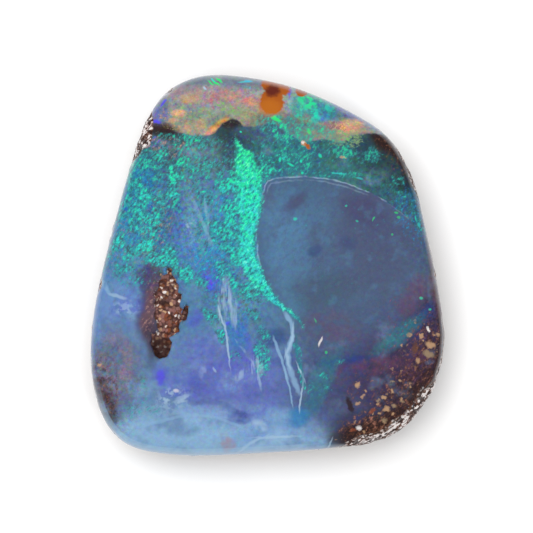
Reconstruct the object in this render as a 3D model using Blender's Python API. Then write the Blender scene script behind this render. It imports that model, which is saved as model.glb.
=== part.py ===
"""Polished boulder opal: one freeform stone, opal grown on its ironstone, made as a single solid.

The stone lies on its sawn back, face up, with +Z out of the polished face. The shaping functions work in
millimetres round the middle of the outline; the finished mesh is in metres, its origin at the bottom centre.
"""

import math

import bmesh
import bpy
from mathutils import Vector, noise

MM = 0.001

# Sections of the stone
GIRDLE_HEIGHT = 2.3
SHOULDER_RISE = 2.0
CROWN_RISE = 0.7
UNDERSIDE_DROP = 2.85
FACE_SQUARENESS = 5.0
BACK_SQUARENESS = 3.0
MEAN_RADIUS = 11.6

# The outline seen from above: a smooth closed curve through these points, anticlockwise from the right side
OUTLINE = (
    (11.13, -3.3), (10.16, 1.84), (9.15, 5.5), (7.75, 7.95), (5.4, 9.6), (1.9, 11.15),
    (-1.6, 11.93), (-4.2, 11.97), (-6.2, 11.1), (-7.5, 9.4), (-8.7, 6.15), (-9.95, 1.5),
    (-10.93, -2.8), (-11.15, -6.3), (-10.45, -9.45), (-8.9, -11.25), (-6.0, -11.91), (-0.9, -11.93),
    (4.2, -11.56), (7.8, -10.7), (10.1, -8.55), (11.05, -6.2),
)
STEPS_BETWEEN_POINTS = 12

# The ironstone climbs the wall to this height, and higher at these bearings: degrees, spread, rise
SEAM_HEIGHT = 1.5
SEAM_RISES = (
    (-43.0, 34.0, 1.9),
    (134.0, 12.0, 1.9),
    (33.0, 16.0, 1.6),
    (-2.0, 24.0, 1.1),
    (216.0, 11.0, 0.8),
)
SEAM_WAVE = (0.5, 0.35)
SEAM_BLEND = 0.4

# Corners where the polish stopped short of the rim, so that crust shows from above: degrees, spread, reach
CORNER_CRUSTS = (
    (-51.0, 20.0, 1.15),
    (-22.0, 22.0, 0.4),
    (134.0, 10.0, 1.1),
    (34.0, 12.0, 0.6),
)
CRUST_WAVE = (0.9, 0.45)
CRUST_BLEND = 0.35
CRUST_FALL_POWER = 4

# The ironstone's lumps, ledges and pits: cycles per millimetre, height
ROCK_WAVES = ((0.30, 0.24), (0.75, 0.17), (1.20, 0.09))
LEDGE_SQUASH = 1.5
ROCK_SET_BACK = 0.06
PIT_FREQUENCY = 0.8
PIT_ONSET = (0.05, 0.5)
PIT_DEPTH = 0.24
PIT_SHIFT = Vector((7.0, 3.0, 5.0))
GIRDLE_CALM = 0.5
GIRDLE_BAND = 0.8
FACE_WAVE = (0.14, 0.10)

# Natural hollows that the saw left open in the back: centre, radius, depth below the rounded underside
BACK_HOLLOWS = (
    ((5.2, -5.6), 1.9, 1.05),
    ((-4.0, 6.1), 1.5, 0.95),
    ((6.3, 3.4), 1.0, 0.85),
    ((-6.6, -6.2), 1.2, 0.9),
)
HOLLOW_EDGE_WAVE = (0.8, 0.45)
HOLLOW_SLOPE = (0.35, 1.15)

# The open pocket of ironstone in the polished face: centre, half sizes, lean from +Y and depth
POCKET_CENTRE = (-6.45, -2.95)
POCKET_HALF = (1.05, 2.65)
POCKET_LEAN = math.radians(7.0)
POCKET_DEPTH = 0.42
POCKET_GRAIN = (2.3, 0.16)
POCKET_EDGE_WAVE = (1.1, 0.5)
POCKET_SLOPE = (0.72, 1.12)

# The skin starts as an icosphere, made finer over the pocket, the rough corners, the wall and the hollows
SPHERE_LEVEL = 5
FINE_MARGIN = 1.35
FINE_ROCK_SHARE = 0.45
HOLLOW_SKIN = 0.2
SECTION_STEPS = 400
NORMAL_STEP = 0.02
CUT_TOLERANCE = 1e-5
CUT_CLEARANCE = 0.03
SHARP_ANGLE = math.radians(50.0)

IRONSTONE_BROWN = (0.16, 0.085, 0.05, 1.0)
OPAL_BLUE = (0.10, 0.28, 0.42, 1.0)


def smoothstep(low, high, value):
    """0 below low, 1 above high and a smooth rise between them."""
    t = min(1.0, max(0.0, (value - low) / (high - low)))
    return t * t * (3.0 - 2.0 * t)


def clear_scene():
    """Removes what the startup file holds."""
    for obj in list(bpy.data.objects):
        bpy.data.objects.remove(obj)


def closed_curve(points, steps):
    """A closed Catmull-Rom curve through the points, with this many steps between neighbours."""
    curve = []
    count = len(points)
    for i in range(count):
        before, start, end, after = (Vector(points[(i + k) % count]) for k in (-1, 0, 1, 2))
        for step in range(steps):
            t = step / steps
            curve.append(
                0.5
                * (
                    2.0 * start
                    + (end - before) * t
                    + (2.0 * before - 5.0 * start + 4.0 * end - after) * t**2
                    + (3.0 * start - before - 3.0 * end + after) * t**3
                )
            )
    return curve


def table_lookup(table, key):
    """The value at key in a list of (key, value) pairs sorted by key, on the line between neighbours."""
    low, high = 0, len(table) - 1
    while high - low > 1:
        middle = (low + high) // 2
        if table[middle][0] <= key:
            low = middle
        else:
            high = middle
    (key_a, value_a), (key_b, value_b) = table[low], table[high]
    share = (key - key_a) / (key_b - key_a)
    return value_a + (value_b - value_a) * min(1.0, max(0.0, share))


def radius_table():
    """(bearing, radius) pairs of the outline over a little more than one turn."""
    turn = 2.0 * math.pi
    curve = closed_curve(OUTLINE, STEPS_BETWEEN_POINTS)
    pairs = sorted((math.atan2(point.y, point.x) % turn, point.length) for point in curve)
    return [(pairs[-1][0] - turn, pairs[-1][1]), *pairs, (pairs[0][0] + turn, pairs[0][1])]


def section_table(squareness, rise):
    """(share of the area from the middle out, angle) pairs of a superellipse section of this rise."""
    power = 2.0 / squareness
    table = [(0.0, 0.0)]
    area, last = 0.0, (0.0, rise)
    for step in range(1, SECTION_STEPS + 1):
        angle = 0.5 * math.pi * step / SECTION_STEPS
        point = (MEAN_RADIUS * math.sin(angle) ** power, rise * max(0.0, math.cos(angle)) ** power)
        area += (point[0] + last[0]) * math.hypot(point[0] - last[0], point[1] - last[1])
        table.append((area, angle))
        last = point
    return [(share / area, angle) for share, angle in table]


def degrees_apart(bearing, centre):
    """How far a bearing is from another, in degrees either way."""
    return (bearing - centre + 180.0) % 360.0 - 180.0


def flat_noise(point, wave):
    """Noise that doesn't change with height, from a (cycles per millimetre, size) pair."""
    frequency, size = wave
    return size * noise.noise(Vector((point.x, point.y, 0.0)) * frequency)


class StoneForm:
    """The stone's skin: where a direction from its middle meets it, and which rock it is made of there."""

    def __init__(self):
        self.radii = radius_table()
        self.face = section_table(FACE_SQUARENESS, SHOULDER_RISE)
        self.back = section_table(BACK_SQUARENESS, UNDERSIDE_DROP)

    def outline_radius(self, bearing):
        """The outline's distance from the axis at a bearing in radians."""
        return table_lookup(self.radii, bearing % (2.0 * math.pi))

    def smooth_point(self, direction):
        """The point of the skin before any relief."""
        bearing = math.atan2(direction.y, direction.x)
        radius = self.outline_radius(bearing)
        above = direction.z >= 0.0
        section, squareness = (self.face, FACE_SQUARENESS) if above else (self.back, BACK_SQUARENESS)
        angle = table_lookup(section, 1.0 - abs(direction.z))
        share = math.sin(angle) ** (2.0 / squareness)
        height = max(0.0, math.cos(angle)) ** (2.0 / squareness)
        if above:
            z = GIRDLE_HEIGHT + SHOULDER_RISE * height + CROWN_RISE * (1.0 - share**2)
        else:
            z = GIRDLE_HEIGHT - UNDERSIDE_DROP * height
        return Vector((radius * share * math.cos(bearing), radius * share * math.sin(bearing), z))

    def outward(self, direction):
        """The smooth skin's outward normal, from two small steps round the direction."""
        side = direction.orthogonal().normalized() * NORMAL_STEP
        other = direction.cross(side)
        middle = self.smooth_point(direction)
        ahead = self.smooth_point((direction + side).normalized())
        across = self.smooth_point((direction + other).normalized())
        return (ahead - middle).cross(across - middle).normalized()

    def wall_share(self, point):
        """1 below the seam where the opal ends and the ironstone begins, 0 above it."""
        bearing = math.degrees(math.atan2(point.y, point.x))
        seam = SEAM_HEIGHT + flat_noise(point, SEAM_WAVE)
        for centre, spread, rise in SEAM_RISES:
            seam += rise * math.exp(-((degrees_apart(bearing, centre) / spread) ** 2))
        return 1.0 - smoothstep(seam - SEAM_BLEND, seam + SEAM_BLEND, point.z)

    def corner_share(self, point):
        """1 on the crust left along the rim at some corners, 0 on the polished face."""
        bearing = math.atan2(point.y, point.x)
        inset = self.outline_radius(bearing) - math.hypot(point.x, point.y)
        share = 0.0
        for centre, spread, reach in CORNER_CRUSTS:
            away = degrees_apart(math.degrees(bearing), centre)
            edge = reach * (math.exp(-((away / spread) ** CRUST_FALL_POWER)) + flat_noise(point, CRUST_WAVE))
            share = max(share, 1.0 - smoothstep(edge - CRUST_BLEND, edge, inset))
        return share

    def ironstone_share(self, point):
        """1 where the skin is ironstone, 0 where it is polished opal."""
        return max(self.wall_share(point), self.corner_share(point) if point.z > GIRDLE_HEIGHT else 0.0)

    def relief(self, point):
        """How far the skin stands out from the smooth form at a point."""
        wave, size = FACE_WAVE
        height = size * noise.noise(point * wave) + self.ironstone_share(point) * rock_relief(point)
        return height + pocket_relief(point) + hollow_relief(point)


def pocket_place(point):
    """The point in the pocket's own axes, 1 at its edge."""
    across, along = point.x - POCKET_CENTRE[0], point.y - POCKET_CENTRE[1]
    turn_cos, turn_sin = math.cos(POCKET_LEAN), math.sin(POCKET_LEAN)
    return math.hypot(
        (across * turn_cos - along * turn_sin) / POCKET_HALF[0],
        (across * turn_sin + along * turn_cos) / POCKET_HALF[1],
    )


def rock_relief(point):
    """Lumps, ledges and pits of bare ironstone, outwards positive."""
    layered = Vector((point.x, point.y, point.z * LEDGE_SQUASH))
    height = sum(size * noise.noise(layered * frequency) for frequency, size in ROCK_WAVES)
    pit = smoothstep(*PIT_ONSET, noise.noise(point * PIT_FREQUENCY + PIT_SHIFT))
    calm = 1.0 - GIRDLE_CALM * math.exp(-(((point.z - GIRDLE_HEIGHT) / GIRDLE_BAND) ** 2))
    return calm * (height - PIT_DEPTH * pit - ROCK_SET_BACK)


def pocket_relief(point):
    """The pocket's depth with its grains, for a point on the face."""
    if point.z < GIRDLE_HEIGHT:
        return 0.0
    wave, size = POCKET_EDGE_WAVE
    edge = pocket_place(point) + size * noise.noise(point * wave)
    inside = 1.0 - smoothstep(*POCKET_SLOPE, edge)
    grain, height = POCKET_GRAIN
    return inside * (height * noise.noise(point * grain) - POCKET_DEPTH)


def hollow_relief(point):
    """The depth of the back's hollows, for a point on the underside."""
    if point.z > 0.0:
        return 0.0
    wave, size = HOLLOW_EDGE_WAVE
    deepest = 0.0
    for (x, y), radius, depth in BACK_HOLLOWS:
        edge = math.hypot(point.x - x, point.y - y) / radius + size * noise.noise(point * wave)
        deepest = min(deepest, -depth * (1.0 - smoothstep(*HOLLOW_SLOPE, edge)))
    return deepest


def wants_fine_mesh(form, direction):
    """True over the pocket, the ironstone wall, the rough corners of the rim and the back's hollows."""
    point = form.smooth_point(direction)
    if point.z < 0.0:
        return hollow_relief(point) < -HOLLOW_SKIN
    if point.z > GIRDLE_HEIGHT and pocket_place(point) < FINE_MARGIN:
        return True
    return form.ironstone_share(point) > FINE_ROCK_SHARE


def add_ball(form):
    """A unit icosphere, divided once more where the stone has fine relief."""
    bm = bmesh.new()
    bmesh.ops.create_icosphere(bm, subdivisions=SPHERE_LEVEL, radius=1.0)
    fine = [f for f in bm.faces if wants_fine_mesh(form, f.calc_center_median().normalized())]
    edges = list({edge for face in fine for edge in face.edges})
    bmesh.ops.subdivide_edges(bm, edges=edges, cuts=1, use_grid_fill=True)
    for vertex in bm.verts:
        vertex.co.normalize()
    return bm


def shape_stone(bm, form):
    """Moves the ball's vertices onto the stone's skin, none of them just at the height of the saw cut."""
    for vertex in bm.verts:
        direction = vertex.co.copy()
        point = form.smooth_point(direction)
        vertex.co = point + form.outward(direction) * form.relief(point)
        if abs(vertex.co.z) < CUT_CLEARANCE:
            vertex.co.z = math.copysign(CUT_CLEARANCE, vertex.co.z)


def saw_back(bm):
    """Cuts the underside flat at height 0 and closes the cut, leaving the deeper hollows open."""
    cut = bmesh.ops.bisect_plane(
        bm,
        geom=bm.verts[:] + bm.edges[:] + bm.faces[:],
        dist=CUT_TOLERANCE,
        plane_co=(0.0, 0.0, 0.0),
        plane_no=(0.0, 0.0, 1.0),
        clear_inner=True,
    )
    rim = [item for item in cut["geom_cut"] if isinstance(item, bmesh.types.BMEdge)]
    bmesh.ops.triangle_fill(bm, edges=rim, use_beauty=True, normal=(0.0, 0.0, -1.0))
    bmesh.ops.recalc_face_normals(bm, faces=bm.faces)


def centre_over_box(bm):
    """Puts the middle of the outline's box over the origin."""
    xs = [v.co.x for v in bm.verts]
    ys = [v.co.y for v in bm.verts]
    middle = Vector(((min(xs) + max(xs)) / 2.0, (min(ys) + max(ys)) / 2.0, 0.0))
    bmesh.ops.translate(bm, verts=bm.verts, vec=-middle)


def surface(name, colour, roughness):
    """A plain material of one finish."""
    material = bpy.data.materials.new(name)
    material.use_nodes = True
    shader = material.node_tree.nodes["Principled BSDF"]
    shader.inputs["Base Color"].default_value = colour
    shader.inputs["Roughness"].default_value = roughness
    shader.inputs["Metallic"].default_value = 0.0
    return material


def dress(mesh, form):
    """Gives the opal its polish and the ironstone its dull brown, face by face."""
    mesh.materials.append(surface("polished_opal", OPAL_BLUE, 0.12))
    mesh.materials.append(surface("ironstone", IRONSTONE_BROWN, 0.7))
    for polygon in mesh.polygons:
        middle = polygon.center / MM
        in_pocket = middle.z > GIRDLE_HEIGHT and pocket_place(middle) < 1.0
        rocky = in_pocket or form.ironstone_share(middle) > 0.5
        polygon.material_index = 1 if rocky else 0
    mesh.shade_smooth()
    mesh.set_sharp_from_angle(angle=SHARP_ANGLE)


def build_stone(collection):
    """Makes the stone's object."""
    form = StoneForm()
    bm = add_ball(form)
    shape_stone(bm, form)
    saw_back(bm)
    centre_over_box(bm)
    bmesh.ops.scale(bm, verts=bm.verts, vec=(MM, MM, MM))
    mesh = bpy.data.meshes.new("boulder_opal")
    bm.to_mesh(mesh)
    bm.free()
    dress(mesh, form)
    stone = bpy.data.objects.new("boulder_opal", mesh)
    collection.objects.link(stone)
    return stone


def main():
    clear_scene()
    collection = bpy.data.collections.new("boulder_opal")
    bpy.context.scene.collection.children.link(collection)
    build_stone(collection)


main()
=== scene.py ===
"""Looks of the polished boulder opal: the skin of the stone, its play of colour and the studio round it.

The stone is one closed mesh. Its face is shaped and coloured after the photo, whose pixels are the unit of
every place and size in the colour tables: x runs right and y runs down, in a square frame of 533 pixels.
"""

import logging
import math
from collections.abc import Iterable, Mapping, Sequence
from dataclasses import dataclass, field
from enum import Enum

import bmesh
import bpy
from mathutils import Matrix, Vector, noise


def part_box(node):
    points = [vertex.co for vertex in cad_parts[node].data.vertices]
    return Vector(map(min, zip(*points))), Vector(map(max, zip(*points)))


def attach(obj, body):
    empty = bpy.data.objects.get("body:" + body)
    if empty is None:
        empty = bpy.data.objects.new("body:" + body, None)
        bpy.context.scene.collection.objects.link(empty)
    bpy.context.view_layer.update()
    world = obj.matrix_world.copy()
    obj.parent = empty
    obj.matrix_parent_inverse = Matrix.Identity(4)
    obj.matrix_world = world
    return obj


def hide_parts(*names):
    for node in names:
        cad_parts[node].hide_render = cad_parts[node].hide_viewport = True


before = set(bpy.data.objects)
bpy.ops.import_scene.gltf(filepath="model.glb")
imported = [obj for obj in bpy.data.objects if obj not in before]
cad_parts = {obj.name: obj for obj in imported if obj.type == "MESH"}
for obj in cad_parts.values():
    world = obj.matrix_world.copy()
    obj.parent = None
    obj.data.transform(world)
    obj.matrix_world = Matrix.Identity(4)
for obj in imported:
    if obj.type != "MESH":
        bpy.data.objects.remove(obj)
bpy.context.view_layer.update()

LOG = logging.getLogger("boulder_opal")

NODE = "boulder_opal"
MM = 0.001
PHOTO_SIDE = 533.0
PIXELS_PER_MM = 15.8
STONE_CENTRE = (267.5, 265.4)
GIRDLE_HEIGHT = 2.3
LIGHT_LEVEL = 1.25
REFLECTED_LIGHT = 0.014
DARKEST = 0.002
LINK_OVERLAP = 0.62

Pixel = tuple[float, float]
Colour = tuple[float, float, float, float]
Triple = tuple[float, float, float]
Socket = bpy.types.NodeSocket


class Tint(Enum):
    """The stone's colours as they look on the screen, as red, green and blue from 0 to 255."""

    STEEL = (88, 129, 165)
    SLATE = (78, 104, 134)
    SMOKE = (82, 92, 120)
    SLATE_GREEN = (62, 90, 90)
    SLATE_TEAL = (52, 96, 112)
    DEEP_TEAL = (54, 102, 120)
    TEAL = (50, 122, 138)
    SEA = (58, 156, 156)
    CERULEAN = (42, 122, 176)
    SKY = (84, 134, 188)
    CORNFLOWER = (102, 138, 191)
    ICE = (140, 179, 213)
    MILK = (172, 200, 222)
    VIOLET = (102, 114, 180)
    DEEP_VIOLET = (84, 88, 192)
    VIVID_VIOLET = (92, 78, 236)
    INDIGO = (52, 70, 124)
    PURPLE = (76, 70, 106)
    PLUM = (104, 68, 94)
    DUSK = (58, 50, 66)
    LAVENDER = (144, 158, 160)
    PEARL = (168, 172, 182)
    EMERALD = (48, 232, 116)
    PEACOCK = (36, 238, 188)
    TURQUOISE = (62, 212, 212)
    MINT = (150, 255, 218)
    CYAN = (60, 188, 220)
    LIME = (120, 204, 88)
    OLIVE = (134, 152, 124)
    SALMON = (200, 138, 120)
    DUSTY_ROSE = (166, 128, 130)
    ROSE = (178, 118, 120)
    PEACH = (224, 174, 132)
    SAND = (196, 158, 122)
    TAN = (162, 140, 112)
    OCHRE = (198, 142, 68)
    AMBER = (172, 92, 30)
    AMBER_LIGHT = (190, 110, 36)
    AMBER_DARK = (92, 36, 20)
    RUST = (142, 76, 54)
    BROWN = (112, 76, 56)
    UMBER = (54, 40, 36)
    CHARCOAL = (46, 56, 60)
    # Pale quartz grains; the same white is also laid as painted glints (painted highlights) on the rough
    # rock.
    QUARTZ_AND_GLINT = (236, 230, 228)


Shade = Tint | Socket


class Zone(Enum):
    """Where on the face a mark may show."""

    ANYWHERE = "anywhere"
    ABOVE_SEAM = "above the seam"
    BELOW_SEAM = "below the seam"
    IN_LENS = "in the clear lens"
    OUTSIDE_LENS = "outside the clear lens"


class Mottle(Enum):
    """How far a mark breaks up into specks."""

    NONE = "none"
    CLOUDY = "cloudy"
    SPECKLED = "speckled"
    STREAKED = "streaked"


def screen_to_linear(value: float) -> float:
    """The linear light of a screen value from 0 to 255."""
    share = value / 255.0
    return share / 12.92 if share <= 0.04045 else ((share + 0.055) / 1.055) ** 2.4


def linear(tint: Tint) -> Colour:
    """A tint's own linear colour, less what the studio's light and its reflection add, with full alpha.

    Args:
        tint: The tint.

    Returns:
        Red, green, blue and alpha from 0 to 1.
    """
    red, green, blue = (
        max(DARKEST, screen_to_linear(value) / LIGHT_LEVEL - REFLECTED_LIGHT) for value in tint.value
    )
    return (red, green, blue, 1.0)


def smoothstep(low: float, high: float, value: float) -> float:
    """0 below low, 1 above high and a smooth rise between them.

    Args:
        low: Where the rise starts.
        high: Where it ends.
        value: The place.

    Returns:
        The share of the rise.
    """
    t = min(1.0, max(0.0, (value - low) / (high - low)))
    return t * t * (3.0 - 2.0 * t)


def degrees_apart(bearing: float, centre: float) -> float:
    """How far a bearing is from another, in degrees either way."""
    return (bearing - centre + 180.0) % 360.0 - 180.0


def to_pixel(point: Vector) -> Pixel:
    """The photo's pixel over a point of the stone in millimetres."""
    return (STONE_CENTRE[0] + point.x * PIXELS_PER_MM, STONE_CENTRE[1] - point.y * PIXELS_PER_MM)


@dataclass(frozen=True)
class Patch:
    """One soft-edged oval mark on the face."""

    tint: Tint
    at: Pixel
    half: Pixel
    lean: float = 0.0
    softness: float = 0.5
    strength: float = 1.0
    zone: Zone = Zone.ANYWHERE
    mottle: Mottle = Mottle.NONE

    def rows(self) -> tuple[Vector, Vector]:
        """What a place (x, y, 1) is multiplied by, for how far along and beside the mark it lies.

        Returns:
            The two rows, each 1 at the mark's edge.
        """
        lean = math.radians(self.lean)
        middle = Vector(self.at)
        along = Vector((math.cos(lean), math.sin(lean))) / self.half[0]
        beside = Vector((-math.sin(lean), math.cos(lean))) / self.half[1]
        return Vector((*along, -along.dot(middle))), Vector((*beside, -beside.dot(middle)))

    def reach(self, x: float, y: float) -> float:
        """A pixel's distance from the mark's middle, 1 at its edge.

        Args:
            x: The pixel's place across.
            y: Its place down.

        Returns:
            The distance.
        """
        place = Vector((x, y, 1.0))
        along, beside = self.rows()
        return math.hypot(along.dot(place), beside.dot(place))


def dabs(*items: Tint | Zone | tuple[float | Mottle, ...]) -> tuple[Patch, ...]:
    """Patches that lie over each other in order.

    Args:
        items: A tint, and then a row for each of its patches: x, y, half length, half width, lean, softness,
            strength and, where it breaks up, its mottle. A zone counts for all the rows after it.

    Returns:
        The patches.
    """
    tint, zone, found = Tint.STEEL, Zone.ANYWHERE, []
    for item in items:
        if isinstance(item, Tint):
            tint = item
        elif isinstance(item, Zone):
            zone = item
        else:
            x, y, along, beside, lean, softness, strength, *mottle = item
            found.append(Patch(tint, (x, y), (along, beside), lean, softness, strength, zone, *mottle))
    return tuple(found)


@dataclass(frozen=True)
class Ribbon:
    """A thin mark along a line of pixels, made of overlapping ovals."""

    tint: Tint
    line: tuple[Pixel, ...]
    width: float
    softness: float = 0.7
    strength: float = 1.0
    zone: Zone = Zone.ANYWHERE
    mottle: Mottle = Mottle.NONE

    def links(self) -> list[Patch]:
        """The ovals of the ribbon, one for each stretch between two points.

        Returns:
            The ovals.
        """
        found = []
        for start, end in zip(self.line, self.line[1:]):
            across, down = end[0] - start[0], end[1] - start[1]
            middle = ((start[0] + end[0]) / 2.0, (start[1] + end[1]) / 2.0)
            half = (math.hypot(across, down) * LINK_OVERLAP + self.width * 0.5, self.width)
            lean = math.degrees(math.atan2(down, across))
            found.append(Patch(self.tint, middle, half, lean, self.softness, 1.0))
        return found


@dataclass
class StoneForm:
    """The stone's shape in millimetres: where a direction from its middle meets the skin, and its rock."""

    outline: tuple[Pixel, ...] = (
        (11.13, -3.3), (10.16, 1.84), (9.15, 5.5), (7.75, 7.95), (5.4, 9.6), (1.9, 11.15),
        (-1.6, 11.93), (-4.2, 11.97), (-6.2, 11.1), (-7.5, 9.4), (-8.7, 6.15), (-9.95, 1.5),
        (-10.93, -2.8), (-11.15, -6.3), (-10.45, -9.45), (-8.9, -11.25), (-6.0, -11.91), (-0.9, -11.93),
        (4.2, -11.56), (7.8, -10.7), (10.1, -8.55), (11.05, -6.2),
    )
    curve_steps: int = 12
    section_steps: int = 400
    mean_radius: float = 11.6
    girdle_height: float = GIRDLE_HEIGHT
    shoulder_rise: float = 2.0
    crown_rise: float = 0.7
    underside_drop: float = 2.85
    face_squareness: float = 5.0
    back_squareness: float = 3.0
    face_wave: tuple[float, float] = (0.14, 0.10)
    seam_height: float = 1.5
    seam_rises: tuple[tuple[float, float, float], ...] = (
        (-47.0, 26.0, 1.8), (135.0, 9.0, 1.6), (33.0, 14.0, 1.2), (-8.0, 26.0, 0.9), (216.0, 11.0, 0.8),
    )
    seam_wave: tuple[float, float] = (0.5, 0.35)
    seam_blend: float = 0.4
    corner_crusts: tuple[tuple[float, float, float], ...] = (
        (-50.5, 17.0, 0.85), (-22.0, 18.0, 0.16), (133.5, 6.5, 0.85), (34.0, 12.0, 0.28),
    )
    crust_wave: tuple[float, float] = (0.9, 0.45)
    crust_blend: float = 0.35
    crust_fall_power: int = 4
    radii: list[tuple[float, float]] = field(init=False)
    face_section: list[tuple[float, float]] = field(init=False)
    back_section: list[tuple[float, float]] = field(init=False)

    def __post_init__(self) -> None:
        """Works out the tables that the shape is read from."""
        self.radii = self._radius_table()
        self.face_section = self._section_table(self.face_squareness, self.shoulder_rise)
        self.back_section = self._section_table(self.back_squareness, self.underside_drop)

    def _outline_curve(self) -> list[Vector]:
        """The outline as a closed Catmull-Rom curve through its points.

        Returns:
            Points all the way round, in millimetres.
        """
        points = [Vector(point) for point in self.outline]
        count = len(points)
        curve = []
        for i in range(count):
            before, start, end, after = (points[(i + k) % count] for k in (-1, 0, 1, 2))
            for step in range(self.curve_steps):
                t = step / self.curve_steps
                bend = (2.0 * before - 5.0 * start + 4.0 * end - after) * t**2
                twist = (3.0 * start - before - 3.0 * end + after) * t**3
                curve.append(0.5 * (2.0 * start + (end - before) * t + bend + twist))
        return curve

    def _radius_table(self) -> list[tuple[float, float]]:
        """Lists the outline's radii over a little more than one turn.

        Returns:
            (bearing, radius) pairs.
        """
        turn = 2.0 * math.pi
        pairs = sorted((math.atan2(p.y, p.x) % turn, p.length) for p in self._outline_curve())
        return [(pairs[-1][0] - turn, pairs[-1][1]), *pairs, (pairs[0][0] + turn, pairs[0][1])]

    def _section_table(self, squareness: float, rise: float) -> list[tuple[float, float]]:
        """How a superellipse section spreads its area from the middle out.

        Args:
            squareness: The superellipse's exponent.
            rise: Its height.

        Returns:
            (share of the area, angle) pairs.
        """
        power = 2.0 / squareness
        table = [(0.0, 0.0)]
        area, last = 0.0, (0.0, rise)
        for step in range(1, self.section_steps + 1):
            angle = 0.5 * math.pi * step / self.section_steps
            point = (self.mean_radius * math.sin(angle) ** power, rise * max(0.0, math.cos(angle)) ** power)
            area += (point[0] + last[0]) * math.hypot(point[0] - last[0], point[1] - last[1])
            table.append((area, angle))
            last = point
        return [(share / area, angle) for share, angle in table]

    @staticmethod
    def _look_up(table: Sequence[tuple[float, float]], key: float) -> float:
        """The value at a key in a list of (key, value) pairs, on the line between neighbours.

        Args:
            table: The pairs, in the order of their keys.
            key: The key.

        Returns:
            The value.
        """
        low, high = 0, len(table) - 1
        while high - low > 1:
            middle = (low + high) // 2
            if table[middle][0] <= key:
                low = middle
            else:
                high = middle
        (key_a, value_a), (key_b, value_b) = table[low], table[high]
        share = (key - key_a) / (key_b - key_a)
        return value_a + (value_b - value_a) * min(1.0, max(0.0, share))

    @staticmethod
    def _flat_noise(point: Vector, wave: tuple[float, float]) -> float:
        """Noise that doesn't change with height, from cycles per millimetre and size."""
        return wave[1] * noise.noise(Vector((point.x, point.y, 0.0)) * wave[0])

    def outline_radius(self, bearing: float) -> float:
        """The outline's distance from the axis at a bearing in radians."""
        return self._look_up(self.radii, bearing % (2.0 * math.pi))

    def inset(self, point: Vector) -> float:
        """How far a point lies inside the outline, seen from above."""
        return self.outline_radius(math.atan2(point.y, point.x)) - math.hypot(point.x, point.y)

    def smooth_point(self, direction: Vector) -> Vector:
        """The point of the skin, before any relief, in a direction from the middle.

        Args:
            direction: A unit vector.

        Returns:
            The point in millimetres.
        """
        bearing = math.atan2(direction.y, direction.x)
        radius = self.outline_radius(bearing)
        above = direction.z >= 0.0
        section = self.face_section if above else self.back_section
        power = 2.0 / (self.face_squareness if above else self.back_squareness)
        angle = self._look_up(section, 1.0 - abs(direction.z))
        share = math.sin(angle) ** power
        height = max(0.0, math.cos(angle)) ** power
        if above:
            z = self.girdle_height + self.shoulder_rise * height + self.crown_rise * (1.0 - share**2)
        else:
            z = self.girdle_height - self.underside_drop * height
        return Vector((radius * share * math.cos(bearing), radius * share * math.sin(bearing), z))

    def ironstone_share(self, point: Vector) -> float:
        """1 where the skin is ironstone, on the wall or a rough corner, and 0 on polished opal.

        Args:
            point: A point of the smooth skin.

        Returns:
            The share from 0 to 1.
        """
        bearing = math.degrees(math.atan2(point.y, point.x))
        seam = self.seam_height + self._flat_noise(point, self.seam_wave)
        for centre, spread, rise in self.seam_rises:
            seam += rise * math.exp(-((degrees_apart(bearing, centre) / spread) ** 2))
        share = 1.0 - smoothstep(seam - self.seam_blend, seam + self.seam_blend, point.z)
        if point.z < self.girdle_height:
            return share
        inset, ragged = self.inset(point), self._flat_noise(point, self.crust_wave)
        for centre, spread, reach in self.corner_crusts:
            away = degrees_apart(bearing, centre)
            edge = reach * (math.exp(-((away / spread) ** self.crust_fall_power)) + ragged)
            share = max(share, 1.0 - smoothstep(edge - self.crust_blend, edge, inset))
        return share


@dataclass
class IronstoneRelief:
    """Lumps, ledges, pits and sand grains of bare ironstone, outwards positive, in millimetres."""

    waves: tuple[tuple[float, float], ...] = ((0.30, 0.24), (0.75, 0.17), (1.20, 0.09))
    ledge_squash: float = 1.5
    set_back: float = 0.06
    pit_frequency: float = 0.8
    pit_onset: tuple[float, float] = (0.05, 0.5)
    pit_depth: float = 0.24
    pit_shift: Vector = field(default_factory=lambda: Vector((7.0, 3.0, 5.0)))
    girdle_calm: float = 0.8
    girdle_band: float = 0.8
    grain_size: float = 0.36
    grain_height: float = 0.055
    grain_edge: float = 0.22

    def lumps(self, point: Vector, girdle_height: float) -> float:
        """The larger relief, the same as in the solid model.

        Args:
            point: A point of the smooth skin.
            girdle_height: Where the stone is widest, and calmest.

        Returns:
            The height.
        """
        layered = Vector((point.x, point.y, point.z * self.ledge_squash))
        height = sum(size * noise.noise(layered * frequency) for frequency, size in self.waves)
        pit = smoothstep(*self.pit_onset, noise.noise(point * self.pit_frequency + self.pit_shift))
        calm = 1.0 - self.girdle_calm * math.exp(-(((point.z - girdle_height) / self.girdle_band) ** 2))
        return calm * (height - self.pit_depth * pit - self.set_back)

    def grains(self, point: Vector) -> float:
        """Sand grains, each a low round top with a groove about it.

        Args:
            point: A point of the smooth skin.

        Returns:
            The height.
        """
        distances, _ = noise.voronoi(point / self.grain_size)
        top = smoothstep(0.0, self.grain_edge, distances[1] - distances[0])
        return self.grain_height * (top - 0.5) * (0.7 + noise.noise(point / self.grain_size))


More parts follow.
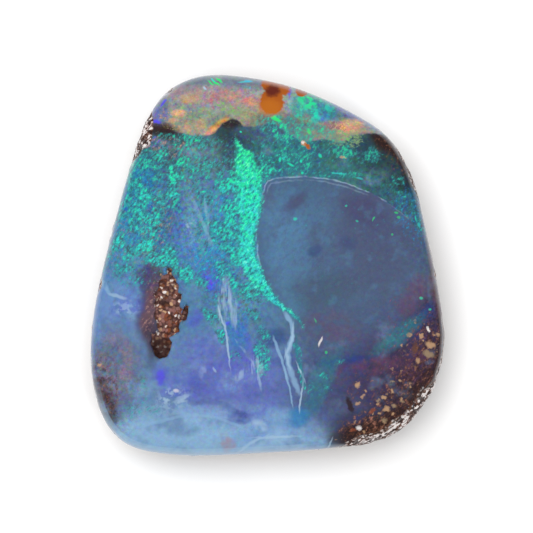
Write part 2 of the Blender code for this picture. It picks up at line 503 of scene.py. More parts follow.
@dataclass
class Pocket:
    """The open pocket of ironstone in the face, made of a few lobes."""

    lobes: tuple[Patch, ...] = (
        Patch(Tint.BROWN, (168.0, 306.0), (13.5, 35.0)),
        Patch(Tint.UMBER, (161.5, 344.0), (10.4, 14.5)),
        Patch(Tint.BROWN, (185.5, 313.0), (3.2, 7.5), 12.0),
    )
    depth: float = 0.36
    slope: tuple[float, float] = (0.86, 1.08)
    edge_wave: tuple[float, float] = (2.1, 0.32)
    grain: tuple[float, float] = (2.3, 0.10)

    def share(self, point: Vector) -> float:
        """1 well inside the pocket and 0 outside it.

        Args:
            point: A point of the smooth skin.

        Returns:
            The share.
        """
        x, y = to_pixel(point)
        ragged = self.edge_wave[1] * noise.noise(point * self.edge_wave[0])
        nearest = min(lobe.reach(x, y) for lobe in self.lobes)
        return 1.0 - smoothstep(*self.slope, nearest + ragged)

    def relief(self, point: Vector, share: float) -> float:
        """The pocket's floor below the face, in millimetres."""
        return share * (self.grain[1] * noise.noise(point * self.grain[0]) - self.depth)


@dataclass
class BackHollows:
    """Natural hollows that the saw left open in the back: middle, radius and depth, in millimetres."""

    hollows: tuple[tuple[Pixel, float, float], ...] = (
        ((5.2, -5.6), 1.9, 1.05), ((-4.0, 6.1), 1.5, 0.95), ((6.3, 3.4), 1.0, 0.85), ((-6.6, -6.2), 1.2, 0.9),
    )
    edge_wave: tuple[float, float] = (0.8, 0.45)
    slope: tuple[float, float] = (0.35, 1.15)

    def relief(self, point: Vector) -> float:
        """How far the skin of the underside is drawn in at a point.

        Args:
            point: A point of the smooth skin.

        Returns:
            The depth, below 0.
        """
        deepest = 0.0
        for (x, y), radius, depth in self.hollows:
            ragged = self.edge_wave[1] * noise.noise(point * self.edge_wave[0])
            edge = math.hypot(point.x - x, point.y - y) / radius + ragged
            deepest = min(deepest, -depth * (1.0 - smoothstep(*self.slope, edge)))
        return deepest


@dataclass
class OpalStone:
    """The whole stone as one closed mesh, from the polished face to the sawn back."""

    form: StoneForm = field(default_factory=StoneForm)
    rock: IronstoneRelief = field(default_factory=IronstoneRelief)
    pocket: Pocket = field(default_factory=Pocket)
    back: BackHollows = field(default_factory=BackHollows)
    sphere_level: int = 7
    fine_share: float = 0.2
    fine_corner_height: float = 2.0
    cut_tolerance: float = 1e-5
    cut_clearance: float = 0.01

    def _rock_and_pocket(self, point: Vector) -> tuple[float, float]:
        """The shares of ironstone and of the pocket at a point of the smooth skin.

        Args:
            point: The point.

        Returns:
            The two shares.
        """
        if point.z < 0.0:
            return 1.0, 0.0
        pocket = self.pocket.share(point) if point.z > self.form.girdle_height else 0.0
        return self.form.ironstone_share(point), pocket

    def _refine(self, bm: bmesh.types.BMesh, corners_only: bool) -> None:
        """Divides the ball once more where the stone has fine relief.

        Args:
            bm: The unit ball.
            corners_only: True to leave the lower wall as it is.
        """
        edges = set()
        for face in bm.faces:
            point = self.form.smooth_point(face.calc_center_median().normalized())
            if point.z < (self.fine_corner_height if corners_only else 0.0):
                continue
            if max(self._rock_and_pocket(point)) > self.fine_share:
                edges.update(face.edges)
        bmesh.ops.subdivide_edges(bm, edges=list(edges), cuts=1, use_grid_fill=True)
        for vertex in bm.verts:
            vertex.co.normalize()

    def _relief(self, point: Vector, rock: float, pocket: float) -> float:
        """How far the skin stands out from the smooth form at a point.

        Args:
            point: The point.
            rock: Its share of ironstone.
            pocket: Its share of the pocket.

        Returns:
            The height, below 0 inwards.
        """
        frequency, size = self.form.face_wave
        height = size * noise.noise(point * frequency) + self.pocket.relief(point, pocket)
        if rock > 0.0:
            height += rock * self.rock.lumps(point, self.form.girdle_height)
        if point.z < 0.0:
            return height + self.back.relief(point)
        rough = max(rock, pocket)
        return height + (rough * self.rock.grains(point) if rough > 0.0 else 0.0)

    def _shape(self, bm: bmesh.types.BMesh) -> None:
        """Moves the ball onto the stone's skin and notes on each vertex what the finish has to know.

        Args:
            bm: The unit ball.
        """
        rock_layer = bm.verts.layers.float.new("ironstone")
        pocket_layer = bm.verts.layers.float.new("pocket")
        inset_layer = bm.verts.layers.float.new("inset")
        for vertex in bm.verts:
            vertex.co = self.form.smooth_point(vertex.co.copy())
            rock, pocket = self._rock_and_pocket(vertex.co)
            vertex[rock_layer] = rock
            vertex[pocket_layer] = pocket
            vertex[inset_layer] = self.form.inset(vertex.co)
        bm.normal_update()
        heights = [self._relief(v.co, v[rock_layer], v[pocket_layer]) for v in bm.verts]
        moves = [vertex.normal * height for vertex, height in zip(bm.verts, heights)]
        for vertex, move in zip(bm.verts, moves):
            vertex.co += move
            if abs(vertex.co.z) < self.cut_clearance:
                vertex.co.z = math.copysign(self.cut_clearance, vertex.co.z)

    def _saw(self, bm: bmesh.types.BMesh) -> None:
        """Cuts the back flat at height 0, leaving the deeper hollows open.

        Args:
            bm: The whole stone.
        """
        everything = bm.verts[:] + bm.edges[:] + bm.faces[:]
        cut = bmesh.ops.bisect_plane(
            bm,
            geom=everything,
            dist=self.cut_tolerance,
            plane_co=(0, 0, 0),
            plane_no=(0, 0, 1),
            clear_inner=True,
        )
        rim = [item for item in cut["geom_cut"] if isinstance(item, bmesh.types.BMEdge)]
        bmesh.ops.triangle_fill(bm, edges=rim, use_beauty=True, normal=(0, 0, -1))
        bmesh.ops.recalc_face_normals(bm, faces=bm.faces)

    @staticmethod
    def _fit(bm: bmesh.types.BMesh) -> None:
        """Stretches the stone by the last fraction that makes it fill its place in the frame.

        Args:
            bm: The stone, from its face to its back.
        """
        low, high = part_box(NODE)
        for axis in range(3):
            places = [vertex.co[axis] for vertex in bm.verts]
            start, end = min(places), max(places)
            scale = (high[axis] - low[axis]) / (end - start)
            for vertex in bm.verts:
                vertex.co[axis] = low[axis] + (vertex.co[axis] - start) * scale

    def build(self) -> bpy.types.Object:
        """Makes the stone's object.

        Returns:
            The object, in the frame's place and in metres, without a material.
        """
        bm = bmesh.new()
        bmesh.ops.create_icosphere(bm, subdivisions=self.sphere_level, radius=1.0)
        self._refine(bm, corners_only=False)
        self._refine(bm, corners_only=True)
        self._shape(bm)
        self._saw(bm)
        self._fit(bm)
        mesh = bpy.data.meshes.new("opal_stone")
        bm.to_mesh(mesh)
        bm.free()
        mesh.shade_smooth()
        stone = bpy.data.objects.new("opal_stone", mesh)
        bpy.context.scene.collection.objects.link(stone)
        return stone


class Value:
    """A number that changes over a surface: an output socket whose arithmetic adds Math nodes."""

    def __init__(self, board: "NodeBoard", socket: Socket) -> None:
        """Keeps the socket and the board that its nodes are on."""
        self.board = board
        self.socket = socket

    def __add__(self, other: "Value | float") -> "Value":
        """self + other."""
        return self.board.maths("ADD", self, other)

    __radd__ = __add__

    def __sub__(self, other: "Value | float") -> "Value":
        """self - other."""
        return self.board.maths("SUBTRACT", self, other)

    def __rsub__(self, other: float) -> "Value":
        """other - self."""
        return self.board.maths("SUBTRACT", other, self)

    def __mul__(self, other: "Value | float") -> "Value":
        """self * other."""
        return self.board.maths("MULTIPLY", self, other)

    __rmul__ = __mul__

    def __truediv__(self, other: "Value | float") -> "Value":
        """self / other."""
        return self.board.maths("DIVIDE", self, other)

    def __abs__(self) -> "Value":
        """The size of self."""
        return self.board.maths("ABSOLUTE", self)

    def over(self, other: "Value | float") -> "Value":
        """The larger of self and other."""
        return self.board.maths("MAXIMUM", self, other)

    def rise(self, low: float | Socket, high: float | Socket, top: float | Socket = 1.0) -> "Value":
        """A smooth climb from 0 at low to top at high, or a fall where high is the lower one.

        Args:
            low: Where it is 0.
            high: Where it reaches the top.
            top: Its largest value.

        Returns:
            The climbing value.
        """
        places = {"Value": self, "From Min": low, "From Max": high, "To Min": 0.0, "To Max": top}
        settings = {"interpolation_type": "SMOOTHSTEP", "clamp": False}
        return self.board.value("ShaderNodeMapRange", settings, places)


Term = Value | float
Place = Socket | Triple | Vector
Input = Term | Place | Shade | Colour


class NodeBoard:
    """The nodes of one tree: a material's own, or a group's that is used many times."""

    def __init__(self, tree: bpy.types.NodeTree) -> None:
        """Empties the tree."""
        self.tree = tree
        self.tree.nodes.clear()

    def node(
        self,
        kind: str,
        settings: Mapping[str, object] | None = None,
        sockets: Mapping[str | int, Input] | None = None,
    ) -> bpy.types.Node:
        """Adds a node.

        Args:
            kind: The node's type.
            settings: Its own properties; "curve" holds the points of a Float Curve.
            sockets: Values or links of its inputs, by name or number.

        Returns:
            The node.
        """
        made = self.tree.nodes.new(kind)
        for name, setting in (settings or {}).items():
            if name == "curve":
                self._draw_curve(made, setting)
            else:
                setattr(made, name, setting)
        for name, value in (sockets or {}).items():
            value = value.socket if isinstance(value, Value) else value
            value = linear(value) if isinstance(value, Tint) else value
            if isinstance(value, bpy.types.NodeSocket):
                self.tree.links.new(value, made.inputs[name])
            else:
                made.inputs[name].default_value = value
        return made

    @staticmethod
    def _draw_curve(made: bpy.types.Node, points: Iterable[Pixel]) -> None:
        """Puts points on a Float Curve node, which starts with two.

        Args:
            made: The node.
            points: Its knots, in the order of x.
        """
        curve = made.mapping.curves[0]
        points = list(points)
        for place in points[2:]:
            curve.points.new(*place)
        for knot, place in zip(curve.points, points):
            knot.location = place
        made.mapping.update()

    def value(self, kind: str, settings: Mapping[str, object], sockets: Mapping[str | int, Input]) -> Value:
        """The first output of a new node, as a number."""
        return Value(self, self.node(kind, settings, sockets).outputs[0])

    def maths(self, operation: str, *terms: Term) -> Value:
        """The result of one Math node."""
        return self.value("ShaderNodeMath", {"operation": operation}, dict(enumerate(terms)))

    def vector(self, operation: str, *terms: Place) -> Socket:
        """The vector that one Vector Math node gives."""
        made = self.node("ShaderNodeVectorMath", {"operation": operation}, dict(enumerate(terms)))
        return made.outputs["Vector"]

    def measure(self, operation: str, *terms: Place) -> Value:
        """The number that one Vector Math node gives, such as a length."""
        made = self.node("ShaderNodeVectorMath", {"operation": operation}, dict(enumerate(terms)))
        return Value(self, made.outputs["Value"])

    def mix(self, factor: Term, first: Shade, second: Shade, blend: str = "MIX") -> Socket:
        """A colour between two others, or the second laid over the first by a blend mode.

        Args:
            factor: The share of the second.
            first: The colour under it.
            second: The colour over it.
            blend: How they are mixed.

        Returns:
            The mixed colour.
        """
        settings = {"data_type": "RGBA", "blend_type": blend}
        return self.node("ShaderNodeMix", settings, {0: factor, 6: first, 7: second}).outputs[2]

    def dye(self, colour: Shade, *coats: tuple[Term, Tint]) -> Shade:
        """Lays tints over a colour one by one.

        Args:
            colour: The colour under them.
            coats: For each its mask and the tint.

        Returns:
            The dyed colour.
        """
        for mask, tint in coats:
            colour = self.mix(mask, colour, tint)
        return colour

    def noise(
        self, place: Place, period: float, detail: float = 2.0, roughness: float = 0.5
    ) -> bpy.types.Node:
        """Fractal noise about 0.5.

        Args:
            place: The vector it is read at.
            period: The size of its largest features.
            detail: How many finer layers it has.
            roughness: How strong those are.

        Returns:
            The noise's node, with a number and a colour among its outputs.
        """
        sockets = {"Vector": place, "Scale": 1.0 / period, "Detail": detail, "Roughness": roughness}
        return self.node("ShaderNodeTexNoise", {}, sockets)

    def level(self, place: Place, period: float, detail: float = 2.0, roughness: float = 0.5) -> Value:
        """Fractal noise as a number."""
        return Value(self, self.noise(place, period, detail, roughness).outputs[0])

    def cells(self, place: Place, period: float) -> tuple[Value, Value, Value]:
        """Random cells.

        Args:
            place: The vector they are read at.
            period: Their usual size.

        Returns:
            The distance from the nearest cell's middle, and two random numbers of that cell.
        """
        sockets = {"Vector": place, "Scale": 1.0 / period}
        made = self.node("ShaderNodeTexVoronoi", {"feature": "F1"}, sockets).outputs
        pick = self.node("ShaderNodeSeparateColor", sockets={0: made["Color"]}).outputs
        return Value(self, made["Distance"]), Value(self, pick[0]), Value(self, pick[1])

    def attribute(self, name: str) -> Value:
        """A number kept on the mesh's vertices."""
        made = self.node("ShaderNodeAttribute", {"attribute_name": name})
        return Value(self, made.outputs["Fac"])

    def finish(self, shader: bpy.types.Node) -> None:
        """Makes a shader the material's surface."""
        self.node("ShaderNodeOutputMaterial", sockets={"Surface": shader.outputs["BSDF"]})


class OvalGroup:
    """A node group for the soft mask of one oval, high inside it and never below the mask it adds to."""

    vectors: tuple[str, ...] = ("Place", "Along", "Beside")
    numbers: tuple[str, ...] = ("Outer", "Inner", "Strength", "Cover", "Over")

    def __init__(self) -> None:
        """Builds the two groups: the mask alone, and the mask with the colour it lays on."""
        self.mask = self._group("oval_mask", dabs=False)
        self.dab = self._group("oval_dab", dabs=True)

    def _group(self, name: str, dabs: bool) -> bpy.types.NodeTree:
        """Builds one of the groups.

        Args:
            name: Its name.
            dabs: True for the one that lays on a colour.

        Returns:
            The group's tree.
        """
        tree = bpy.data.node_groups.new(name, "ShaderNodeTree")
        for socket in self.vectors:
            tree.interface.new_socket(socket, in_out="INPUT", socket_type="NodeSocketVector")
        for socket in self.numbers:
            tree.interface.new_socket(socket, in_out="INPUT", socket_type="NodeSocketFloat")
        for socket in ("Under", "Tint") if dabs else ():
            tree.interface.new_socket(socket, in_out="INPUT", socket_type="NodeSocketColor")
        kind = "NodeSocketColor" if dabs else "NodeSocketFloat"
        tree.interface.new_socket("Result", in_out="OUTPUT", socket_type=kind)
        board = NodeBoard(tree)
        given = board.node("NodeGroupInput").outputs
        along = board.measure("DOT_PRODUCT", given["Place"], given["Along"])
        beside = board.measure("DOT_PRODUCT", given["Place"], given["Beside"])
        reach = board.maths("MULTIPLY_ADD", along, along, beside * beside)
        mask = reach.rise(given["Outer"], given["Inner"], given["Strength"])
        mask = (mask * given["Cover"]).over(given["Over"])
        result = board.mix(mask, given["Under"], given["Tint"]) if dabs else mask
        board.node("NodeGroupOutput", sockets={"Result": result})
        return tree


@dataclass(frozen=True)
class FleckField:
    """Small flecks of colour, thick where the field's ovals are strong and gone where there are none."""

    dim: Tint
    bright: Tint
    zones: tuple[Patch, ...]
    seed: float
    size: float = 2.6
    lean: float = -50.0
    stretch: float = 1.7
    thin: float = 0.72
    thick: float = 0.44
    zone: Zone = Zone.ANYWHERE
    strength: float = 1.0


@dataclass(frozen=True)
class FaceMarks:
    """Every mark of the face, in the order in which they lie over each other."""

    ground: tuple[Patch, ...] = dabs(
        Tint.SLATE_TEAL, (165, 185, 60, 62, 0, 0.7, 0.9), Tint.CERULEAN, (122, 225, 24, 60, 14, 0.8, 0.7),
        (146, 212, 34, 52, 10, 0.8, 0.5), Tint.SLATE, (205, 185, 30, 52, 0, 0.8, 0.85),
        Tint.SLATE_GREEN, (250, 148, 112, 22, 0, 0.6, 0.95),
        Tint.SLATE_TEAL, (300, 156, 50, 22, 0, 0.7, 0.8),
        Tint.SLATE_GREEN, (372, 166, 58, 34, 25, 0.6, 0.9),
        Tint.SLATE_TEAL, (392, 198, 22, 30, -30, 0.8, 0.7),
        Tint.SLATE_GREEN, (362, 168, 44, 18, 14, 0.9, 0.5), Tint.SEA, (330, 156, 52, 20, 8, 0.9, 0.22),
        Tint.SKY, (212, 240, 32, 42, 0, 0.8, 0.8), Tint.STEEL, (110, 270, 30, 34, 0, 0.8, 0.9),
        Tint.CORNFLOWER, (116, 322, 34, 42, 0, 0.6, 0.9), Tint.STEEL, (212, 318, 42, 40, 0, 0.8, 0.8),
        Tint.SLATE_TEAL, (426, 232, 18, 62, -14, 0.6, 0.9), Tint.SMOKE, (400, 300, 62, 62, 0, 0.8, 0.85),
        (330, 322, 40, 30, 0, 0.8, 0.7), Tint.PURPLE, (385, 345, 66, 48, -10, 0.7, 0.9),
        (412, 370, 34, 60, 30, 0.7, 0.6), Tint.INDIGO, (350, 402, 46, 36, 0, 0.8, 0.55),
        (342, 412, 24, 26, 0, 0.8, 0.75), Tint.DUSK, (402, 392, 52, 32, -42, 0.9, 0.75),
        (372, 400, 36, 36, 0, 0.95, 0.5), (426, 350, 20, 50, 6, 0.8, 0.6),
        Tint.VIOLET, (222, 385, 66, 36, 0, 0.8, 0.9), Tint.STEEL, (142, 372, 34, 42, 0, 0.8, 0.75),
        Tint.SLATE, (318, 372, 24, 46, 8, 0.8, 0.6), Tint.SMOKE, (108, 382, 24, 38, 10, 0.8, 0.8),
        Tint.ICE, (205, 452, 128, 38, 0, 0.5, 0.9), Tint.CORNFLOWER, (312, 442, 60, 26, -6, 0.7, 0.85),
        Tint.ICE, (306, 448, 48, 16, -4, 0.8, 0.8), Tint.PURPLE, (338, 386, 32, 28, 0, 0.9, 0.55),
        Tint.SMOKE, (334, 418, 24, 16, -10, 0.9, 0.5), Tint.DUSK, (358, 426, 26, 13, -18, 0.8, 0.8),
        Tint.SEA, (201, 178, 13, 46, 2, 0.9, 0.34), Tint.PEARL, (201, 182, 13, 46, 2, 0.9, 0.16),
        (128, 360, 40, 46, 0, 0.9, 0.10),
    )
    top_band: tuple[Patch, ...] = dabs(
        Zone.ABOVE_SEAM, Tint.LAVENDER, (265, 95, 150, 80, 0, 0.3, 1.0),
        Tint.SMOKE, (190, 87, 16, 6, -24, 0.9, 0.6), (240, 84, 24, 5, 4, 0.9, 0.5),
        Tint.TAN, (194, 126, 40, 12, 6, 0.7, 0.7), Tint.OLIVE, (212, 114, 44, 11, 2, 0.8, 0.85),
        Tint.SLATE_GREEN, (236, 124, 18, 5, 4, 0.9, 0.5, Mottle.CLOUDY),
        Tint.SLATE, (178, 106, 26, 8, -6, 0.9, 0.45, Mottle.CLOUDY),
        Tint.SLATE_TEAL, (206, 121, 30, 6, 0, 0.9, 0.4, Mottle.CLOUDY),
        Tint.TAN, (262, 119, 28, 8, 0, 0.8, 0.6), Tint.DUSTY_ROSE, (222, 98, 42, 7, 5, 0.9, 0.8),
        Tint.PEARL, (226, 98, 42, 8, 5, 0.9, 0.22), (190, 116, 36, 12, 5, 0.9, 0.18),
        Tint.INDIGO, (160, 112, 6, 10, 24, 0.9, 0.55), Tint.VIOLET, (158, 117, 8, 7, 20, 0.9, 0.6),
        Tint.SEA, (312, 107, 15, 12, 0, 0.9, 0.75), Tint.SKY, (324, 114, 10, 8, -20, 0.9, 0.85),
        Tint.TAN, (308, 120.5, 4, 5, 0, 0.8, 0.8), Tint.SLATE_GREEN, (290, 126, 26, 8, 8, 0.9, 0.6),
        Tint.SLATE_TEAL, (338, 116, 12, 6, 20, 0.9, 0.6), Tint.VIOLET, (350, 113, 24, 4.5, 28, 0.7, 0.6),
        Tint.TAN, (340, 134, 26, 9, 4, 0.7, 0.85),
        Tint.OLIVE, (338, 135, 24, 7, 4, 0.9, 0.6, Mottle.CLOUDY),
        Tint.DUSTY_ROSE, (332, 127, 9, 3.5, 0, 0.8, 0.7), Tint.PEACH, (349, 126, 11, 5, -10, 0.7, 0.85),
        (345, 131, 9, 3, 0, 0.8, 0.5), (178.5, 114, 6.6, 3.2, 6, 0.5, 0.9),
        Tint.SAND, (174, 121, 4.4, 2.2, -10, 0.7, 0.8), (188, 128, 2.6, 4, -20, 0.7, 0.7),
        (190, 99.5, 7, 4, 0, 0.8, 0.7), (201, 125, 5, 3.6, 0, 0.8, 0.6),
        Tint.SALMON, (232, 97, 7, 3.4, -20, 0.8, 0.7), (250, 102, 7, 3, 4, 0.7, 0.9),
        Tint.ROSE, (216, 97, 8, 3, -30, 0.9, 0.6),
    )
    seam_line: tuple[Pixel, ...] = (
        (120, 122), (160, 128), (189, 135), (209, 134), (218, 129), (225, 122), (236, 120.5), (245, 127),
        (262, 125), (272, 123), (288, 134), (304, 141), (326, 139.5), (340, 142.5), (350, 137), (371, 134),
        (392, 139), (412, 152), (440, 175),
    )
    seam_shade: tuple[Patch | Ribbon, ...] = (
        *dabs(
            Tint.UMBER, (163, 131, 14, 7, 12, 0.6, 0.95),
            Zone.BELOW_SEAM, Tint.CHARCOAL, (234, 131, 20, 11, 6, 0.8, 0.62),
            Tint.SLATE, (262, 132, 20, 8, 6, 0.8, 0.6), Tint.UMBER, (231, 123.5, 10, 4.5, 0, 0.7, 0.8),
            Tint.CHARCOAL, (368, 150, 34, 13, 8, 0.9, 0.45), (388, 158, 22, 18, 40, 0.8, 0.6),
            Tint.UMBER, (386, 142, 18, 8, 36, 0.6, 0.97),
            Zone.ANYWHERE, (406, 163, 6, 20, -28, 0.8, 0.85),
            Tint.CHARCOAL, (404, 183, 9, 8, 30, 0.6, 0.85),
        ),
        Ribbon(Tint.OCHRE, ((210, 132.5), (217, 127), (225, 120.5)), 3.0, 0.6, 0.9, Zone.ABOVE_SEAM),
        Ribbon(Tint.PEACH, ((208, 134), (214, 131)), 2.0, 0.8, 0.6),
    )
    lens_left: tuple[float, float, float] = (392.0, 234.0, 135.3)
    lens_top: tuple[float, float, float] = (300.7, 334.8, 157.7)
    lens_fade: Patch = Patch(Tint.SLATE, (322, 242), (96, 92), 0, 0.35, 0.95)
    lens_marks: tuple[Patch, ...] = dabs(
        Zone.IN_LENS, Tint.SMOKE, (378, 225, 46, 46, 0, 0.8, 0.75),
        Tint.STEEL, (287, 262, 19, 58, -4, 0.5, 0.8), (298, 232, 30, 24, 0, 0.9, 0.4),
        (330, 268, 26, 8, -8, 0.9, 0.35), Tint.PURPLE, (294, 199.5, 9, 3.6, -48, 0.9, 0.75),
        (363, 209, 15, 10, 10, 0.9, 0.6), (388, 236, 26, 14, 20, 0.9, 0.35),
        Tint.INDIGO, (349, 243, 6.5, 6, 0, 0.8, 0.95), (312, 251, 5, 4, 0, 0.8, 0.75),
        Tint.SMOKE, (366, 262, 12, 7, 10, 0.8, 0.6), Tint.STEEL, (356, 296, 16, 6, -12, 0.9, 0.4),
        Tint.SLATE_GREEN, (322, 290, 26, 14, -10, 0.9, 0.45), Tint.SMOKE, (345, 268, 40, 30, 0, 0.9, 0.4),
        (384, 284, 38, 30, -10, 0.9, 0.55),
        Zone.ANYWHERE, Tint.PLUM, (419, 286, 9, 10, 0, 0.9, 0.5), (404, 303, 7, 8, 20, 0.9, 0.4),
    )
    green_glow: tuple[Patch, ...] = dabs(
        Tint.SEA, (166, 172, 36, 26, 6, 0.9, 0.8), (176, 186, 10, 26, 6, 0.8, 0.95),
        (180, 164, 18, 7, 4, 0.8, 0.95), (150, 206, 26, 22, -28, 0.9, 0.85),
        (134, 240, 24, 36, 8, 0.8, 0.9), (152, 254, 24, 14, 8, 0.8, 0.98),
        (182, 270, 28, 7.5, 38, 0.8, 0.95), (128, 264, 14, 18, 0, 0.9, 0.75),
        (126, 200, 16, 44, 14, 0.9, 0.85), (112, 240, 14, 36, 12, 0.9, 0.75),
        (213, 320, 13, 5, 56, 0.9, 0.9), (221, 336, 8, 4, 70, 0.9, 0.85), (233, 355, 9, 3.6, 35, 0.9, 0.7),
        (228, 235, 24, 56, 0, 0.9, 0.85), (234, 205, 12, 44, 0, 0.9, 0.98),
        (236, 262, 12, 34, -10, 0.9, 0.98), (222, 180, 17, 30, 0, 0.9, 0.72),
        (243, 275, 14, 40, -18, 0.8, 0.85), (206, 262, 16, 9, 20, 0.9, 0.62),
        (210, 162, 5, 12, 10, 0.9, 0.8), (199, 194, 8, 6, 0, 0.9, 0.72), (184, 144, 34, 8, 6, 0.9, 0.85),
        (290, 132, 28, 11, 18, 0.8, 0.92), (311, 133, 13, 7, 10, 0.8, 0.98),
        (295, 153, 38, 22, 0, 0.8, 0.78), (289, 157, 14, 9, 20, 0.8, 0.95),
        (282, 121, 10, 4, 22, 0.8, 0.95), (344, 149, 12, 7, -20, 0.8, 0.92), (338, 137, 20, 5, 0, 0.8, 0.8),
        (370, 154, 8, 7, 0, 0.8, 0.82), (330, 158, 30, 12, 0, 0.9, 0.6), (268, 174, 8, 10, 0, 0.8, 0.95),
        (336, 174, 26, 3.4, 2, 0.8, 0.85), (402, 206, 24, 12, 52, 0.9, 0.66),
        (418, 228, 7, 16, -14, 0.8, 0.85), (399, 178, 6, 5, 0, 0.7, 0.95), (264, 352, 7, 22, -6, 0.9, 0.85),
        (399, 331, 22, 5, -36, 0.8, 0.55), (313, 108, 16, 13, 0, 0.9, 0.98),
        (316, 388, 14, 10, -40, 0.9, 0.6), (321, 377, 4.5, 4.5, 0, 0.8, 0.95),
        (333, 363, 8, 4, -30, 0.9, 0.6), (299, 364, 2.4, 24, -12, 0.9, 0.85),
        (142, 412, 18, 8, 0, 0.9, 0.5), (141, 390, 5, 18, 0, 0.9, 0.5), (330, 295, 70, 60, 0, 0.9, 0.28),
    )
    flash: tuple[tuple[float, float, float], ...] = (
        (130, 236, -6), (137, 236, 0.6), (141, 236, 2.4), (147, 239, 4.4), (153, 244.5, 9.6),
        (162, 245, 11.6), (172, 248, 13.4), (186, 249.5, 13.5), (200, 249.5, 13.5), (215, 250, 11.5),
        (230, 247.5, 10), (245, 246.5, 10), (260, 248.5, 10.5), (270, 252.5, 10.5), (280, 258, 9.5),
        (290, 264.5, 8), (298, 272, 6.8), (305, 280, 5.8), (311, 288, 4.8), (318, 297, 3.4),
        (325, 302, 1.8), (331, 304, 0), (338, 305, -8),
    )
    fields: tuple[FleckField, ...] = (
        FleckField(
            Tint.CERULEAN, Tint.CYAN,
            dabs(
                Tint.CYAN, (128, 212, 22, 50, 14, 0.9, 0.8), (220, 240, 20, 44, 0, 0.9, 0.8),
                (206, 262, 16, 12, 20, 0.9, 0.8), (172, 176, 30, 24, 0, 0.9, 0.5),
                (412, 214, 16, 26, -14, 0.9, 0.6),
            ),
            31.0,
        ),
        FleckField(
            Tint.VIOLET, Tint.VIVID_VIOLET,
            dabs(
                Tint.VIOLET, (216, 182, 18, 34, 0, 0.9, 0.55), (164, 210, 26, 34, 0, 0.9, 0.5),
                (157, 145, 14, 7, 10, 0.9, 0.65), (238, 236, 14, 40, 0, 0.9, 0.45),
                (250, 380, 30, 46, 0, 0.9, 0.5), (330, 160, 40, 20, 0, 0.9, 0.35),
            ),
            57.0,
        ),
        FleckField(
            Tint.PLUM, Tint.ROSE,
            dabs(
                Tint.ROSE, (158, 205, 26, 50, 10, 0.9, 0.52), (168, 147, 26, 7, 8, 0.9, 0.5),
                (225, 160, 18, 18, 0, 0.9, 0.4), (128, 300, 24, 50, 0, 0.9, 0.34),
                (112, 378, 16, 34, 10, 0.9, 0.5), (410, 340, 36, 60, 20, 0.9, 0.5),
                (395, 215, 30, 30, 0, 0.9, 0.25), (225, 97, 44, 7, 5, 0.9, 0.36),
                (330, 128, 12, 4, 0, 0.9, 0.7),
            ),
            83.0,
        ),
        FleckField(
            Tint.TAN, Tint.PEACH,
            dabs(
                Tint.PEACH, (186, 120, 24, 14, 12, 0.9, 0.62), (240, 112, 26, 9, 0, 0.9, 0.45),
                (344, 130, 22, 9, 0, 0.9, 0.66), (190, 98, 12, 5, 0, 0.9, 0.6),
                (246, 101, 14, 5, 0, 0.9, 0.5),
            ),
            19.0, lean=10.0, zone=Zone.ABOVE_SEAM,
        ),
        FleckField(
            Tint.OLIVE, Tint.LIME,
            dabs(
                Tint.LIME, (224, 108, 11, 6, 10, 0.9, 0.8), (238, 113, 8, 7, 0, 0.9, 0.8),
                (193, 113, 10, 4, 0, 0.9, 0.7), (212, 116, 40, 10, 0, 0.9, 0.5),
                (312, 134, 14, 6, 10, 0.9, 0.7), (342, 137, 18, 6, 0, 0.9, 0.85),
                (148, 253, 8, 4, 0, 0.9, 0.7),
            ),
            43.0, lean=10.0,
        ),
        FleckField(
            Tint.SLATE_TEAL, Tint.TURQUOISE,
            dabs(Tint.TEAL, (340, 245, 80, 80, 0, 0.9, 0.5)),
            71.0, zone=Zone.IN_LENS, strength=0.45,
        ),
        FleckField(
            Tint.PURPLE, Tint.VIOLET,
            dabs(Tint.TEAL, (350, 240, 84, 80, 0, 0.9, 0.6)),
            29.0, size=4.0, zone=Zone.IN_LENS, strength=0.4,
        ),
        FleckField(
            Tint.DUSTY_ROSE, Tint.PEACH,
            dabs(
                Tint.PEACH, (156, 226, 15, 34, 12, 0.9, 0.6), (170, 146, 28, 10, 8, 0.9, 0.62),
                (118, 236, 14, 34, 12, 0.9, 0.52), (151, 306, 7, 28, 4, 0.9, 0.5),
            ),
            61.0, size=3.0, zone=Zone.BELOW_SEAM, strength=0.8,
        ),
        FleckField(
            Tint.BROWN, Tint.SALMON,
            dabs(
                Tint.SAND, (424, 352, 20, 38, 10, 0.7, 0.74), (404, 392, 44, 20, -42, 0.9, 0.74),
                (372, 424, 28, 13, -20, 0.9, 0.8), (368, 390, 22, 26, 0, 0.95, 0.5),
                (106, 388, 14, 34, -6, 0.9, 0.66), (396, 150, 14, 30, -32, 0.8, 0.6),
            ),
            97.0, size=3.4, stretch=1.3, strength=0.6,
        ),
        FleckField(
            Tint.UMBER, Tint.UMBER,
            dabs(
                Tint.SAND, (412, 394, 48, 22, -42, 0.9, 0.78), (432, 352, 18, 44, 6, 0.9, 0.72),
                (104, 392, 12, 34, -6, 0.9, 0.7), (235, 105, 90, 26, 6, 0.8, 0.34),
            ),
            11.0, size=4.6, stretch=1.2, strength=0.6,
        ),
    )
